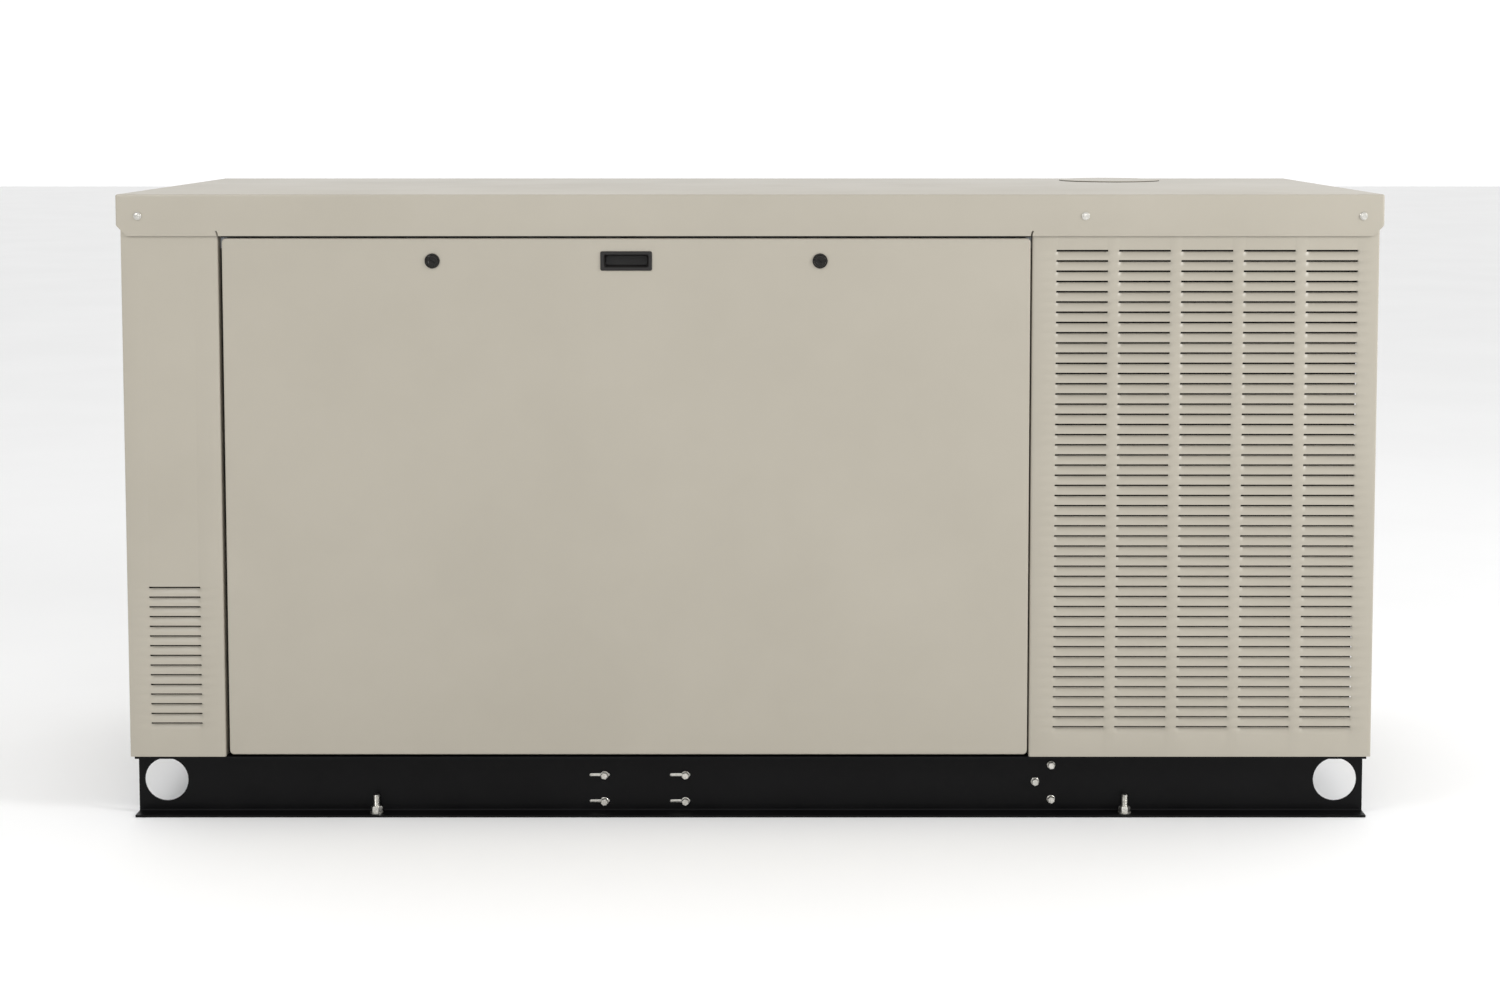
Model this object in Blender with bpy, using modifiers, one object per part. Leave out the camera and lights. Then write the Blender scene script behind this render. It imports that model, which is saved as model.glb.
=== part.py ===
# Home standby generator: a gas engine and alternator on a folded steel base, in a long steel
# enclosure with a tilt-out door on each side. Metres, +Z up, length along X, front towards -Y,
# origin at the centre of the base on the ground.
import math

import bmesh
import bpy
from mathutils import Matrix, Vector

# Overall sizes
ROOF_LENGTH = 2.280
ROOF_DEPTH = 0.834
ROOF_TOP = 1.140
BASE_HEIGHT = 0.112

# Sheet metal
SHEET = 0.002                # enclosure sheet
PLATE = 0.004                # base steel
GAP = 0.0003                 # clearance between pieces that touch
LIP_HEIGHT = 0.075           # roof lip
END_OVERHANG = 0.007         # lip beyond the end walls
SIDE_OVERHANG = 0.004        # lip beyond the long walls
LIP_CHAMFER = 0.020
RETURN_DEPTH = 0.025         # folded edges of doors and wraps
BEND = 0.004                 # outer bend radius of the enclosure

# Base
BASE_INSET = 0.008           # rail ends in from the end walls
RAIL_FLANGE = 0.030
LIFT_HOLE_RADIUS = 0.040
LIFT_HOLE_INSET = 0.0505     # hole centre from the rail end
LIFT_HOLE_HEIGHT = 0.062
ANCHOR_X = 0.686
ANCHOR_HOLE_RADIUS = 0.007
CHANNEL_WIDTH = 0.070
CHANNEL_CLEAR = 0.030        # channels stand this far off the ground
SLOT_LENGTH = 0.038
SLOT_WIDTH = 0.0065
SLOT_SPREAD = 0.148
SLOT_HEIGHTS = (0.021, 0.070)

# Long walls
LEFT_WRAP = 0.175            # fixed panel at the alternator end
RIGHT_WRAP = 0.625           # fixed panel at the radiator end
DOOR_GAP_LEFT = 0.007
DOOR_GAP_RIGHT = 0.003
DOOR_GAP_TOP = 0.004
DOOR_GAP_BOTTOM = 0.004
DOOR_CORNER = 0.008

# Door locks and pulls
LOCK_SPREAD = 0.698
LOCK_DROP = 0.041            # below the door's top edge
LOCK_BARREL_RADIUS = 0.009
LOCK_HEAD_FLANGE = 0.0015    # head wider than the barrel
LOCK_HEAD_PROUD = 0.0032
LOCK_RUN = 0.0005            # running clearance of the barrel in the door
CAM_LENGTH = 0.034
CAM_WIDTH = 0.016
CAM_THICK = 0.003
PULL_WIDTH = 0.093
PULL_HEIGHT = 0.035
PULL_BEZEL = 0.006
PULL_DEPTH = 0.020
PULL_WALL = 0.002
HEADER_HANG = 0.096          # header flange down from the roof sheet
HEADER_SHELF = 0.040

# Roof fill cover and coolant tank
COVER_RADIUS = 0.103
COVER_HEIGHT = 0.005
COVER_SPIGOT = 0.010
FILL_HOLE_RADIUS = 0.090
COVER_FROM_END = 0.396       # cover centre in from the roof's end
COVER_FROM_REAR = 0.132      # and in from its rear edge
TANK_LENGTH = 0.170
TANK_DEPTH = 0.180
TANK_HEIGHT = 0.120
TANK_DROP = 0.120            # tank top below the roof
NECK_RADIUS = 0.022
NECK_HEIGHT = 0.025
CAP_RADIUS = 0.033
CAP_HEIGHT = 0.022

# Power train, placed leftwards from the radiator bulkhead
CRANK_Z = 0.380
FAN_Z = 0.560
SHROUD_DEPTH = 0.070
SHROUD_MARGIN = 0.050        # shroud beyond the blade tips
FAN_RADIUS = 0.235
FAN_CLEAR = 0.012
FAN_BLADES = 6
BLADE_PITCH = 30             # degrees
BLADE_WIDTH = 0.070
BLADE_THICK = 0.003
HUB_RADIUS = 0.060
HUB_LENGTH = 0.040
FAN_SHAFT_RADIUS = 0.020
BELT_PLANE = 0.128           # belt centre from the bulkhead
BELT_WIDTH = 0.018
BELT_THICK = 0.006
CRANK_PULLEY_RADIUS = 0.080
FAN_PULLEY_RADIUS = 0.064
CHARGER_PULLEY_RADIUS = 0.036
CHARGER_RADIUS = 0.060
CHARGER_LENGTH = 0.110
CHARGER_AWAY = 0.010         # charger off the side of the block
CHARGER_Z = 0.500
BLOCK_PLANE = 0.210          # front face of the block from the bulkhead
BLOCK_LENGTH = 0.500
BLOCK_HALF = 0.120
BLOCK_BOTTOM = 0.300
BLOCK_TOP = 0.580
HEAD_HEIGHT = 0.100
HEAD_HALF = 0.100
VALVE_COVER_HEIGHT = 0.070
VALVE_COVER_HALF = 0.080
PAN_BOTTOM = 0.160
SHAFT_RADIUS = 0.028
SHAFT_RUN = 0.003
FLYWHEEL_RADIUS = 0.150
BELL_LENGTH = 0.100
BELL_STEP = 0.010            # housing smaller than the alternator it bolts to
BELL_WALL = 0.018
ALTERNATOR_RADIUS = 0.210
ALTERNATOR_WALL = 0.022
ROTOR_RADIUS = 0.150
END_ROOM = 0.200             # alternator end to the end wall
MOUNT_SPREAD = 0.240         # engine feet from the centre line
MOUNT_WIDTH = 0.050
FOOT_REACH = 0.060           # front feet out from the block
FOOT_HALF = 0.020
STICK_RADIUS = 0.003
STICK_RUN = 0.001
GUIDE_HALF = 0.010           # dipstick guide
LOOP_RADIUS = 0.016
OIL_CAP_RADIUS = 0.030
OIL_CAP_HEIGHT = 0.022
PUMP_RADIUS = 0.058
STARTER_RADIUS = 0.038
STARTER_LENGTH = 0.180
HOSE_RADIUS = 0.020

# Intake
PORTS = 4
PORT_PITCH = 0.085
PORT_WIDTH = 0.040
CLEANER_RADIUS = 0.090
CLEANER_LENGTH = 0.300
RISER_RADIUS = 0.035
RISER_HEIGHT = 0.110

# Radiator
RADIATOR_HALF = 0.320
RADIATOR_BOTTOM = 0.150
RADIATOR_TOP = 0.940
RADIATOR_THICK = 0.060
RADIATOR_TANK = 0.070
RADIATOR_FOOT_Y = 0.250
RADIATOR_FOOT_HALF = 0.030

# Exhaust
EXHAUST_AWAY = 0.060         # manifold off the side of the head
EXHAUST_Z = 0.620
MANIFOLD_RADIUS = 0.030
TAIL_RADIUS = 0.030
TAIL_LENGTH = 0.045
PIPE_RADIUS = 0.025
PIPE_CROSSING_Z = 1.000
MUFFLER_RADIUS = 0.110
MUFFLER_LENGTH = 0.330
MUFFLER_Y = -0.120
MUFFLER_Z = 0.800
MUFFLER_START = 0.209        # from the bulkhead

# Electrical pieces
BATTERY_SIZE = (0.240, 0.130, 0.200)
BATTERY_POST_RADIUS = 0.009
BATTERY_POST_INSET = 0.035
CONTROL_SIZE = (0.340, 0.220, 0.280)
CONTROL_WALL = 0.004
CONTROL_FACE = 0.025         # thickness of the button panel
CONTROL_BOTTOM = 0.700
CONTROL_FRONT = -0.300
BREAKER_SIZE = (0.100, 0.120, 0.200)
BUTTON_RADIUS = 0.009
BUTTON_LENGTH = 0.014
BUTTON_PROUD = 0.006
BUTTON_PITCH = 0.050
BUTTON_RUN = 0.0005
TOGGLE_POCKET = (0.018, 0.030, 0.070)
TOGGLE_RADIUS = 0.010
TOGGLE_TILT = 30             # degrees below level

# Gas supply
REGULATOR_PLACE = (0.100, 0.300, 0.450)    # X from the back of the block
REGULATOR_RADIUS = 0.070
GAS_PIPE_RADIUS = 0.017

# How far a cutter runs past what it cuts
PAST = 0.010

# Places worked out from the sizes above
WALL_X = ROOF_LENGTH / 2 - END_OVERHANG
WALL_Y = ROOF_DEPTH / 2 - SIDE_OVERHANG
RAIL_END = WALL_X - BASE_INSET
RAIL_WEB = WALL_Y + 0.002 - RAIL_FLANGE          # outer face of the web
FLOOR_Y = RAIL_WEB - PLATE - GAP
WRAP_BOTTOM = BASE_HEIGHT + GAP
ROOF_UNDER = ROOF_TOP - SHEET
LIP_BOTTOM = ROOF_TOP - LIP_HEIGHT
DOOR_LEFT = LEFT_WRAP - WALL_X + DOOR_GAP_LEFT
DOOR_RIGHT = WALL_X - RIGHT_WRAP - DOOR_GAP_RIGHT
DOOR_BOTTOM = BASE_HEIGHT + DOOR_GAP_BOTTOM
DOOR_TOP = LIP_BOTTOM - DOOR_GAP_TOP
DOOR_CENTRE = (DOOR_LEFT + DOOR_RIGHT) / 2
LOCK_Z = DOOR_TOP - LOCK_DROP
LOCK_HEAD_RADIUS = LOCK_BARREL_RADIUS + LOCK_HEAD_FLANGE
HEADER_Y = WALL_Y - RETURN_DEPTH - GAP           # outer face of the header flange
CAM_Y = HEADER_Y - SHEET - 0.0015                # outer face of the cam
BULKHEAD_X = WALL_X - RIGHT_WRAP + SHEET + GAP
PLENUM_X = BULKHEAD_X + SHEET + GAP
BELT_X = BULKHEAD_X - BELT_PLANE
BLOCK_FRONT = BULKHEAD_X - BLOCK_PLANE
BLOCK_BACK = BLOCK_FRONT - BLOCK_LENGTH
BELL_BACK = BLOCK_BACK - BELL_LENGTH
ALTERNATOR_LEFT = END_ROOM - WALL_X
HEAD_TOP = BLOCK_TOP + HEAD_HEIGHT
ENGINE_TOP = HEAD_TOP + VALVE_COVER_HEIGHT
ENGINE_CHANNEL_X = BLOCK_BACK - 0.004
FRONT_CHANNEL_X = BLOCK_FRONT - 0.060
RADIATOR_CHANNEL_X = BULKHEAD_X + 0.028
ALTERNATOR_CHANNEL_X = (ALTERNATOR_LEFT + BELL_BACK) / 2
LIFT_HOLE_X = RAIL_END - LIFT_HOLE_INSET
END_CHANNEL_X = LIFT_HOLE_X - LIFT_HOLE_RADIUS - 0.005 - CHANNEL_WIDTH / 2
COVER_X = ROOF_LENGTH / 2 - COVER_FROM_END
COVER_Y = ROOF_DEPTH / 2 - COVER_FROM_REAR
TANK_TOP = ROOF_UNDER - TANK_DROP
SHROUD_HALF = FAN_RADIUS + SHROUD_MARGIN
CHARGER_Y = -BLOCK_HALF - CHARGER_AWAY - CHARGER_RADIUS
EXHAUST_Y = -HEAD_HALF - EXHAUST_AWAY
BELL_RADIUS = ALTERNATOR_RADIUS - BELL_STEP
MUFFLER_LEFT = BULKHEAD_X + MUFFLER_START

# Finish: colour, metallic, roughness
FINISHES = {
    "khaki_paint": ((0.480, 0.440, 0.370), 0.0, 0.45),
    "black_paint": ((0.012, 0.012, 0.013), 0.0, 0.40),
    "engine_paint": ((0.060, 0.065, 0.070), 0.2, 0.50),
    "galvanised": ((0.420, 0.430, 0.440), 0.9, 0.45),
    "cast_metal": ((0.300, 0.300, 0.310), 0.8, 0.55),
    "steel": ((0.500, 0.500, 0.510), 1.0, 0.35),
    "black_plastic": ((0.015, 0.015, 0.016), 0.0, 0.50),
    "rubber": ((0.010, 0.010, 0.010), 0.0, 0.75),
    "red_plastic": ((0.400, 0.020, 0.015), 0.0, 0.40),
    "green_plastic": ((0.020, 0.250, 0.060), 0.0, 0.40),
    "clear_tank": ((0.700, 0.690, 0.640), 0.0, 0.40),
}

for old in list(bpy.data.objects):
    bpy.data.objects.remove(old, do_unlink=True)
model = bpy.data.collections.new("home_standby_generator")
cutters = bpy.data.collections.new("cutters")
bpy.context.scene.collection.children.link(model)
bpy.context.scene.collection.children.link(cutters)


# ---- shape helpers: each returns a loose mesh object that waits among the cutters ----

def loose(mesh):
    shape = bpy.data.objects.new("shape", mesh)
    shape.hide_render = True
    shape.display_type = "WIRE"
    cutters.objects.link(shape)
    return shape


def box(low, high):
    low, high = Vector(low), Vector(high)
    size = high - low
    form = bmesh.new()
    bmesh.ops.create_cube(form, size=1.0)
    bmesh.ops.scale(form, vec=size, verts=form.verts)
    bmesh.ops.translate(form, vec=(low + high) / 2, verts=form.verts)
    mesh = bpy.data.meshes.new("box")
    form.to_mesh(mesh)
    form.free()
    return loose(mesh)


def rod(start, end, radius, sides=24):
    start, end = Vector(start), Vector(end)
    along = end - start
    form = bmesh.new()
    bmesh.ops.create_cone(form, cap_ends=True, segments=sides, radius1=radius, radius2=radius,
                          depth=along.length)
    turn = along.to_track_quat("Z", "Y").to_matrix().to_4x4()
    placing = Matrix.Translation((start + end) / 2) @ turn
    bmesh.ops.transform(form, matrix=placing, verts=form.verts)
    mesh = bpy.data.meshes.new("rod")
    form.to_mesh(mesh)
    form.free()
    return loose(mesh)


def meshed(curve, placing):
    # a curve object turned into a welded mesh, placed in the model
    holder = bpy.data.objects.new("curve", curve)
    cutters.objects.link(holder)
    ready = holder.evaluated_get(bpy.context.evaluated_depsgraph_get())
    mesh = bpy.data.meshes.new_from_object(ready)
    bpy.data.objects.remove(holder)
    form = bmesh.new()
    form.from_mesh(mesh)
    bmesh.ops.remove_doubles(form, verts=form.verts, dist=0.00001)
    bmesh.ops.recalc_face_normals(form, faces=form.faces)
    form.transform(placing)
    form.to_mesh(mesh)
    form.free()
    return loose(mesh)


LAY = {
    "X": Matrix(((0, 0, 1, 0), (1, 0, 0, 0), (0, 1, 0, 0), (0, 0, 0, 1))),
    "Y": Matrix(((1, 0, 0, 0), (0, 0, -1, 0), (0, 1, 0, 0), (0, 0, 0, 1))),
    "Z": Matrix.Identity(4),
}
AXIS = {"X": Vector((1, 0, 0)), "Y": Vector((0, 1, 0)), "Z": Vector((0, 0, 1))}


def prism(outlines, axis, low, high):
    # flat outlines, in Y-Z for axis X, X-Z for axis Y and X-Y for axis Z, from low to high
    curve = bpy.data.curves.new("outline", "CURVE")
    curve.dimensions = "2D"
    curve.fill_mode = "BOTH"
    curve.extrude = (high - low) / 2
    for outline in outlines:
        spline = curve.splines.new("POLY")
        spline.points.add(len(outline) - 1)
        spline.use_cyclic_u = True
        for knot, spot in zip(spline.points, outline):
            knot.co = (spot[0], spot[1], 0, 1)
    return meshed(curve, Matrix.Translation(AXIS[axis] * (low + high) / 2) @ LAY[axis])


def pipe(route, radius):
    # a round tube along a route, eased by corner cutting so that its bends are round
    points = [Vector(spot) for spot in route]
    for _ in range(2):
        eased = [points[0]]
        for start, end in zip(points, points[1:]):
            eased += [start.lerp(end, 0.25), start.lerp(end, 0.75)]
        points = eased + [points[-1]]
    curve = bpy.data.curves.new("tube", "CURVE")
    curve.dimensions = "3D"
    curve.bevel_depth = radius
    curve.bevel_resolution = 2
    curve.use_fill_caps = True
    spline = curve.splines.new("POLY")
    spline.points.add(len(points) - 1)
    for knot, spot in zip(spline.points, points):
        knot.co = (*spot, 1)
    return meshed(curve, Matrix.Identity(4))


def turned(profile, at, axis="Z", sides=32):
    # a profile of (radius, height) pairs, from the top down, turned about its axis
    mesh = bpy.data.meshes.new("profile")
    edges = [(i, i + 1) for i in range(len(profile) - 1)]
    mesh.from_pydata([(radius, 0, height) for radius, height in profile], edges, [])
    shape = loose(mesh)
    screw = shape.modifiers.new("turn", "SCREW")
    screw.steps = sides
    screw.render_steps = sides
    screw.use_merge_vertices = True
    screw.merge_threshold = 0.00005
    shape.matrix_world = Matrix.Translation(at) @ LAY[axis]
    return shape


def rounded(points, radius, closed=True, steps=3):
    # the same outline with its corners turned into arcs
    count = len(points)
    result = []
    for index, spot in enumerate(points):
        corner = Vector(spot)
        if not closed and index in (0, count - 1):
            result.append(corner)
            continue
        before = Vector(points[index - 1]) - corner
        after = Vector(points[(index + 1) % count]) - corner
        half = before.angle(after) / 2
        reach = radius / math.tan(half)
        inwards = (before.normalized() + after.normalized()).normalized()
        middle = corner + inwards * radius / math.sin(half)
        start = corner + before.normalized() * reach - middle
        sweep = math.pi - 2 * half
        turn = 1 if before.x * after.y - before.y * after.x < 0 else -1
        for step in range(steps + 1):
            result.append(middle + Matrix.Rotation(turn * sweep * step / steps, 2) @ start)
    return result


def rectangle(left, bottom, right, top, radius=0.0):
    corners = [(left, bottom), (right, bottom), (right, top), (left, top)]
    return rounded(corners, radius) if radius else corners


def circle(across, up, radius, sides=32):
    turns = [math.tau * step / sides for step in range(sides)]
    return [(across + radius * math.cos(turn), up + radius * math.sin(turn)) for turn in turns]


def folded(path, thickness, radius):
    # the closed outline of a bent sheet: an open path and its copy, one thickness to the left
    outer = rounded(path, radius, closed=False)
    inner = []
    for index, spot in enumerate(outer):
        before = spot - outer[index - 1] if index else outer[1] - spot
        after = outer[index + 1] - spot if index < len(outer) - 1 else before
        first = Vector((-before.y, before.x)).normalized()
        last = Vector((-after.y, after.x)).normalized()
        inner.append(spot + (first + last) * thickness / (1 + first.dot(last)))
    return outer + inner[::-1]


def combine(shape, others, operation):
    for other in others:
        change = shape.modifiers.new(operation.lower(), "BOOLEAN")
        change.operation = operation
        change.solver = "EXACT"
        change.object = other
    return shape


def join(shape, *others):
    return combine(shape, others, "UNION")


def cut(shape, *others):
    return combine(shape, others, "DIFFERENCE")


def sub_part(name, shape, finish, pivot=None):
    # names a finished shape, gives it its own material and its origin on its pivot
    shape.name = name
    shape.data.name = name
    cutters.objects.unlink(shape)
    model.objects.link(shape)
    shape.hide_render = False
    shape.display_type = "TEXTURED"
    if pivot is not None:
        shape.data.transform(Matrix.Translation(-Vector(pivot)))
        shape.location = pivot
    colour, metallic, roughness = FINISHES[finish]
    material = bpy.data.materials.new(name)
    material.use_nodes = True
    surface = material.node_tree.nodes["Principled BSDF"]
    surface.inputs["Base Color"].default_value = (*colour, 1)
    surface.inputs["Metallic"].default_value = metallic
    surface.inputs["Roughness"].default_value = roughness
    shape.data.materials.clear()
    shape.data.materials.append(material)
    shape.data.shade_smooth()
    shape.data.set_sharp_from_angle(angle=math.radians(35))
    return shape


# ---- base ----

def base_rail(name, side):
    web = side * RAIL_WEB
    lip = side * (RAIL_WEB + RAIL_FLANGE)
    top = side * (WALL_Y - GAP)
    path = [(lip, 0), (web - side * PLATE, 0), (web - side * PLATE, BASE_HEIGHT), (top, BASE_HEIGHT)]
    rail = prism([folded(path, side * -PLATE, 0.006)], "X", -RAIL_END, RAIL_END)
    holes = []
    for end in (-1, 1):
        spot = Vector((end * LIFT_HOLE_X, web, LIFT_HOLE_HEIGHT))
        holes.append(rod(spot - AXIS["Y"] * 0.02, spot + AXIS["Y"] * 0.02, LIFT_HOLE_RADIUS, 32))
        foot = Vector((end * ANCHOR_X, side * (RAIL_WEB + RAIL_FLANGE / 2), 0))
        holes.append(rod(foot - AXIS["Z"] * 0.01, foot + AXIS["Z"] * 0.01, ANCHOR_HOLE_RADIUS, 16))
        for height in SLOT_HEIGHTS:
            middle = ENGINE_CHANNEL_X + end * SLOT_SPREAD / 2
            outline = rectangle(middle - SLOT_LENGTH / 2, height - SLOT_WIDTH / 2,
                                middle + SLOT_LENGTH / 2, height + SLOT_WIDTH / 2, SLOT_WIDTH * 0.49)
            holes.append(prism([outline], "Y", web - 0.02, web + 0.02))
    sub_part(name, cut(rail, *holes), "black_paint")


def cross_channel(name, middle):
    half = CHANNEL_WIDTH / 2
    top = BASE_HEIGHT - SHEET - GAP
    path = [(middle + half, CHANNEL_CLEAR), (middle + half, top), (middle - half, top),
            (middle - half, CHANNEL_CLEAR)]
    channel = prism([folded(path, PLATE, 0.006)], "Y", -FLOOR_Y, FLOOR_Y)
    sub_part(name, channel, "black_paint")


base_rail("base_rail_front", -1)
base_rail("base_rail_rear", 1)
cross_channel("end_channel_left", -END_CHANNEL_X)
cross_channel("end_channel_right", END_CHANNEL_X)
cross_channel("alternator_crossmember", ALTERNATOR_CHANNEL_X)
cross_channel("engine_crossmember", ENGINE_CHANNEL_X)
cross_channel("front_crossmember", FRONT_CHANNEL_X)
cross_channel("radiator_crossmember", RADIATOR_CHANNEL_X)
sub_part("floor_pan", box((-RAIL_END, -FLOOR_Y, BASE_HEIGHT - SHEET), (RAIL_END, FLOOR_Y, BASE_HEIGHT)),
         "galvanised")


# ---- enclosure ----

def end_wrap(name, end, length):
    # one folded sheet round three sides, with a return along each door edge
    near = end * (WALL_X - length)
    far = end * WALL_X
    edge = WALL_Y - RETURN_DEPTH
    path = [(near, -edge), (near, -WALL_Y), (far, -WALL_Y), (far, WALL_Y), (near, WALL_Y), (near, edge)]
    outline = folded(path, end * SHEET, BEND)
    sub_part(name, prism([outline], "Z", WRAP_BOTTOM, ROOF_UNDER - GAP), "khaki_paint")


def roof_panel():
    half_x, half_y = ROOF_LENGTH / 2, ROOF_DEPTH / 2
    roof = box((-half_x, -half_y, LIP_BOTTOM), (half_x, half_y, ROOF_TOP))
    hollow = box((SHEET - half_x, SHEET - half_y, LIP_BOTTOM - PAST), (half_x - SHEET, half_y - SHEET, ROOF_UNDER))
    middle = Vector((COVER_X, COVER_Y, ROOF_TOP))
    holes = [hollow, rod(middle - AXIS["Z"] * PAST, middle + AXIS["Z"] * PAST, FILL_HOLE_RADIUS, 32)]
    for end in (-1, 1):
        out = end * (half_x + PAST)
        low = LIP_BOTTOM - PAST
        corner = [(out, low), (end * (half_x - LIP_CHAMFER - PAST), low), (out, LIP_BOTTOM + LIP_CHAMFER + PAST)]
        holes.append(prism([corner], "Y", -half_y - PAST, half_y + PAST))
    sub_part("roof_panel", cut(roof, *holes), "khaki_paint")


def header(name, side):
    face = side * HEADER_Y
    under = ROOF_UNDER - GAP
    path = [(face, under - HEADER_HANG), (face, under), (face - side * HEADER_SHELF, under)]
    beam = prism([folded(path, side * SHEET, BEND)], "X", LEFT_WRAP - WALL_X, BULKHEAD_X - GAP)
    sub_part(name, beam, "galvanised")


def radiator_bulkhead():
    edge = WALL_Y - BEND - GAP
    sheet = box((BULKHEAD_X, -edge, WRAP_BOTTOM), (BULKHEAD_X + SHEET, edge, ROOF_UNDER - GAP))
    seat = 0.020
    window = box((BULKHEAD_X - PAST, seat - RADIATOR_HALF, RADIATOR_BOTTOM + seat),
                 (BULKHEAD_X + PAST, RADIATOR_HALF - seat, RADIATOR_TOP - seat))
    middle = Vector((BULKHEAD_X, MUFFLER_Y, PIPE_CROSSING_Z))
    crossing = rod(middle - AXIS["X"] * PAST, middle + AXIS["X"] * PAST, PIPE_RADIUS + 0.010)
    sub_part("radiator_bulkhead", cut(sheet, window, crossing), "galvanised")


end_wrap("alternator_end_wrap", -1, LEFT_WRAP)
end_wrap("radiator_end_wrap", 1, RIGHT_WRAP)
roof_panel()
header("front_header", -1)
header("rear_header", 1)
radiator_bulkhead()


# ---- doors, each tilting about its bottom outer edge ----

def door(side, place):
    pivot = (DOOR_CENTRE, side * WALL_Y, DOOR_BOTTOM)
    outside = side * WALL_Y
    inside = side * (WALL_Y - RETURN_DEPTH)
    skin = side * (WALL_Y - SHEET)

    def across(outline, start, end):
        return prism([outline], "Y", min(start, end), max(start, end))

    middles = {"left": DOOR_CENTRE - LOCK_SPREAD / 2, "right": DOOR_CENTRE + LOCK_SPREAD / 2}
    cup = (DOOR_CENTRE - PULL_WIDTH / 2 + PULL_BEZEL, LOCK_Z - PULL_HEIGHT / 2 + PULL_BEZEL,
           DOOR_CENTRE + PULL_WIDTH / 2 - PULL_BEZEL, LOCK_Z + PULL_HEIGHT / 2 - PULL_BEZEL)

    def cup_outline(grow):
        return rectangle(cup[0] - grow, cup[1] - grow, cup[2] + grow, cup[3] + grow, 0.005)

    outlines = [rectangle(DOOR_LEFT, DOOR_BOTTOM, DOOR_RIGHT, DOOR_TOP, DOOR_CORNER), cup_outline(GAP)]
    for middle in middles.values():
        outlines.append(circle(middle, LOCK_Z, LOCK_BARREL_RADIUS + LOCK_RUN))
    pan = prism(outlines, "Y", min(outside, inside), max(outside, inside))
    hollow = across(rectangle(DOOR_LEFT + SHEET, DOOR_BOTTOM + SHEET, DOOR_RIGHT - SHEET, DOOR_TOP - SHEET,
                              DOOR_CORNER - SHEET), skin, inside - side * PAST)
    sub_part(place + "_door", cut(pan, hollow), "khaki_paint", pivot)

    bezel = across(cup_outline(PULL_BEZEL), outside + side * GAP, outside + side * 0.0025)
    body = across(cup_outline(0), outside + side * 0.001, outside - side * PULL_DEPTH)
    well = across(cup_outline(-PULL_WALL), outside + side * PAST, outside - side * (PULL_DEPTH - PULL_WALL))
    sub_part(place + "_pull", cut(join(bezel, body), well), "black_plastic", pivot)

    for hand, middle in middles.items():
        head = rod((middle, outside + side * LOCK_HEAD_PROUD, LOCK_Z), (middle, outside + side * GAP, LOCK_Z),
                   LOCK_HEAD_RADIUS)
        barrel = rod((middle, outside + side * 0.001, LOCK_Z), (middle, side * (CAM_Y - 0.001), LOCK_Z),
                     LOCK_BARREL_RADIUS)
        near, far = sorted((side * CAM_Y, side * (CAM_Y - CAM_THICK)))
        cam = box((middle - CAM_WIDTH / 2, near, LOCK_Z - CAM_WIDTH / 2),
                  (middle + CAM_LENGTH, far, LOCK_Z + CAM_WIDTH / 2))
        sub_part(f"{place}_lock_{hand}", join(head, barrel, cam), "steel", (middle, outside, LOCK_Z))


door(-1, "front")
door(1, "rear")


# ---- coolant circuit ----

def fill_cover():
    rim = COVER_RADIUS
    spigot = FILL_HOLE_RADIUS - 0.002
    under = COVER_HEIGHT - SHEET
    profile = [(0, COVER_HEIGHT), (rim - 0.003, COVER_HEIGHT), (rim, COVER_HEIGHT - 0.002), (rim, GAP),
               (spigot, GAP), (spigot, -COVER_SPIGOT), (spigot - SHEET, -COVER_SPIGOT),
               (spigot - SHEET, under), (0, under)]
    sub_part("fill_cover", turned(profile, (COVER_X, COVER_Y, ROOF_TOP), sides=40), "khaki_paint")


def coolant_tank():
    back = WALL_Y - SHEET - GAP
    tank = box((COVER_X - TANK_LENGTH / 2, back - TANK_DEPTH, TANK_TOP - TANK_HEIGHT),
               (COVER_X + TANK_LENGTH / 2, back, TANK_TOP))
    mouth = (COVER_X, COVER_Y, TANK_TOP + NECK_HEIGHT)
    neck = rod((COVER_X, COVER_Y, TANK_TOP - PAST), mouth, NECK_RADIUS)
    sub_part("coolant_tank", join(tank, neck), "clear_tank")
    top = GAP + 0.010
    skirt = top - CAP_HEIGHT
    run = NECK_RADIUS + 0.001
    grip = [(0, top), (CAP_RADIUS - 0.002, top), (CAP_RADIUS, top - 0.002), (CAP_RADIUS, skirt),
            (run, skirt), (run, GAP), (0, GAP)]
    sub_part("coolant_cap", turned(grip, mouth, sides=24), "steel")


def radiator():
    right = PLENUM_X + RADIATOR_THICK
    core = box((PLENUM_X, -RADIATOR_HALF, RADIATOR_BOTTOM), (right, RADIATOR_HALF, RADIATOR_TOP))
    waists = []
    for left, end in ((PLENUM_X - PAST, PLENUM_X + 0.010), (right - 0.010, right + PAST)):
        waists.append(box((left, 0.03 - RADIATOR_HALF, RADIATOR_BOTTOM + RADIATOR_TANK),
                          (end, RADIATOR_HALF - 0.03, RADIATOR_TOP - RADIATOR_TANK)))
    feet = []
    for side in (-RADIATOR_FOOT_Y, RADIATOR_FOOT_Y):
        feet.append(box((PLENUM_X, side - RADIATOR_FOOT_HALF, WRAP_BOTTOM),
                        (right, side + RADIATOR_FOOT_HALF, RADIATOR_BOTTOM + PAST)))
    sub_part("radiator", join(cut(core, *waists), *feet), "engine_paint")


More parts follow.
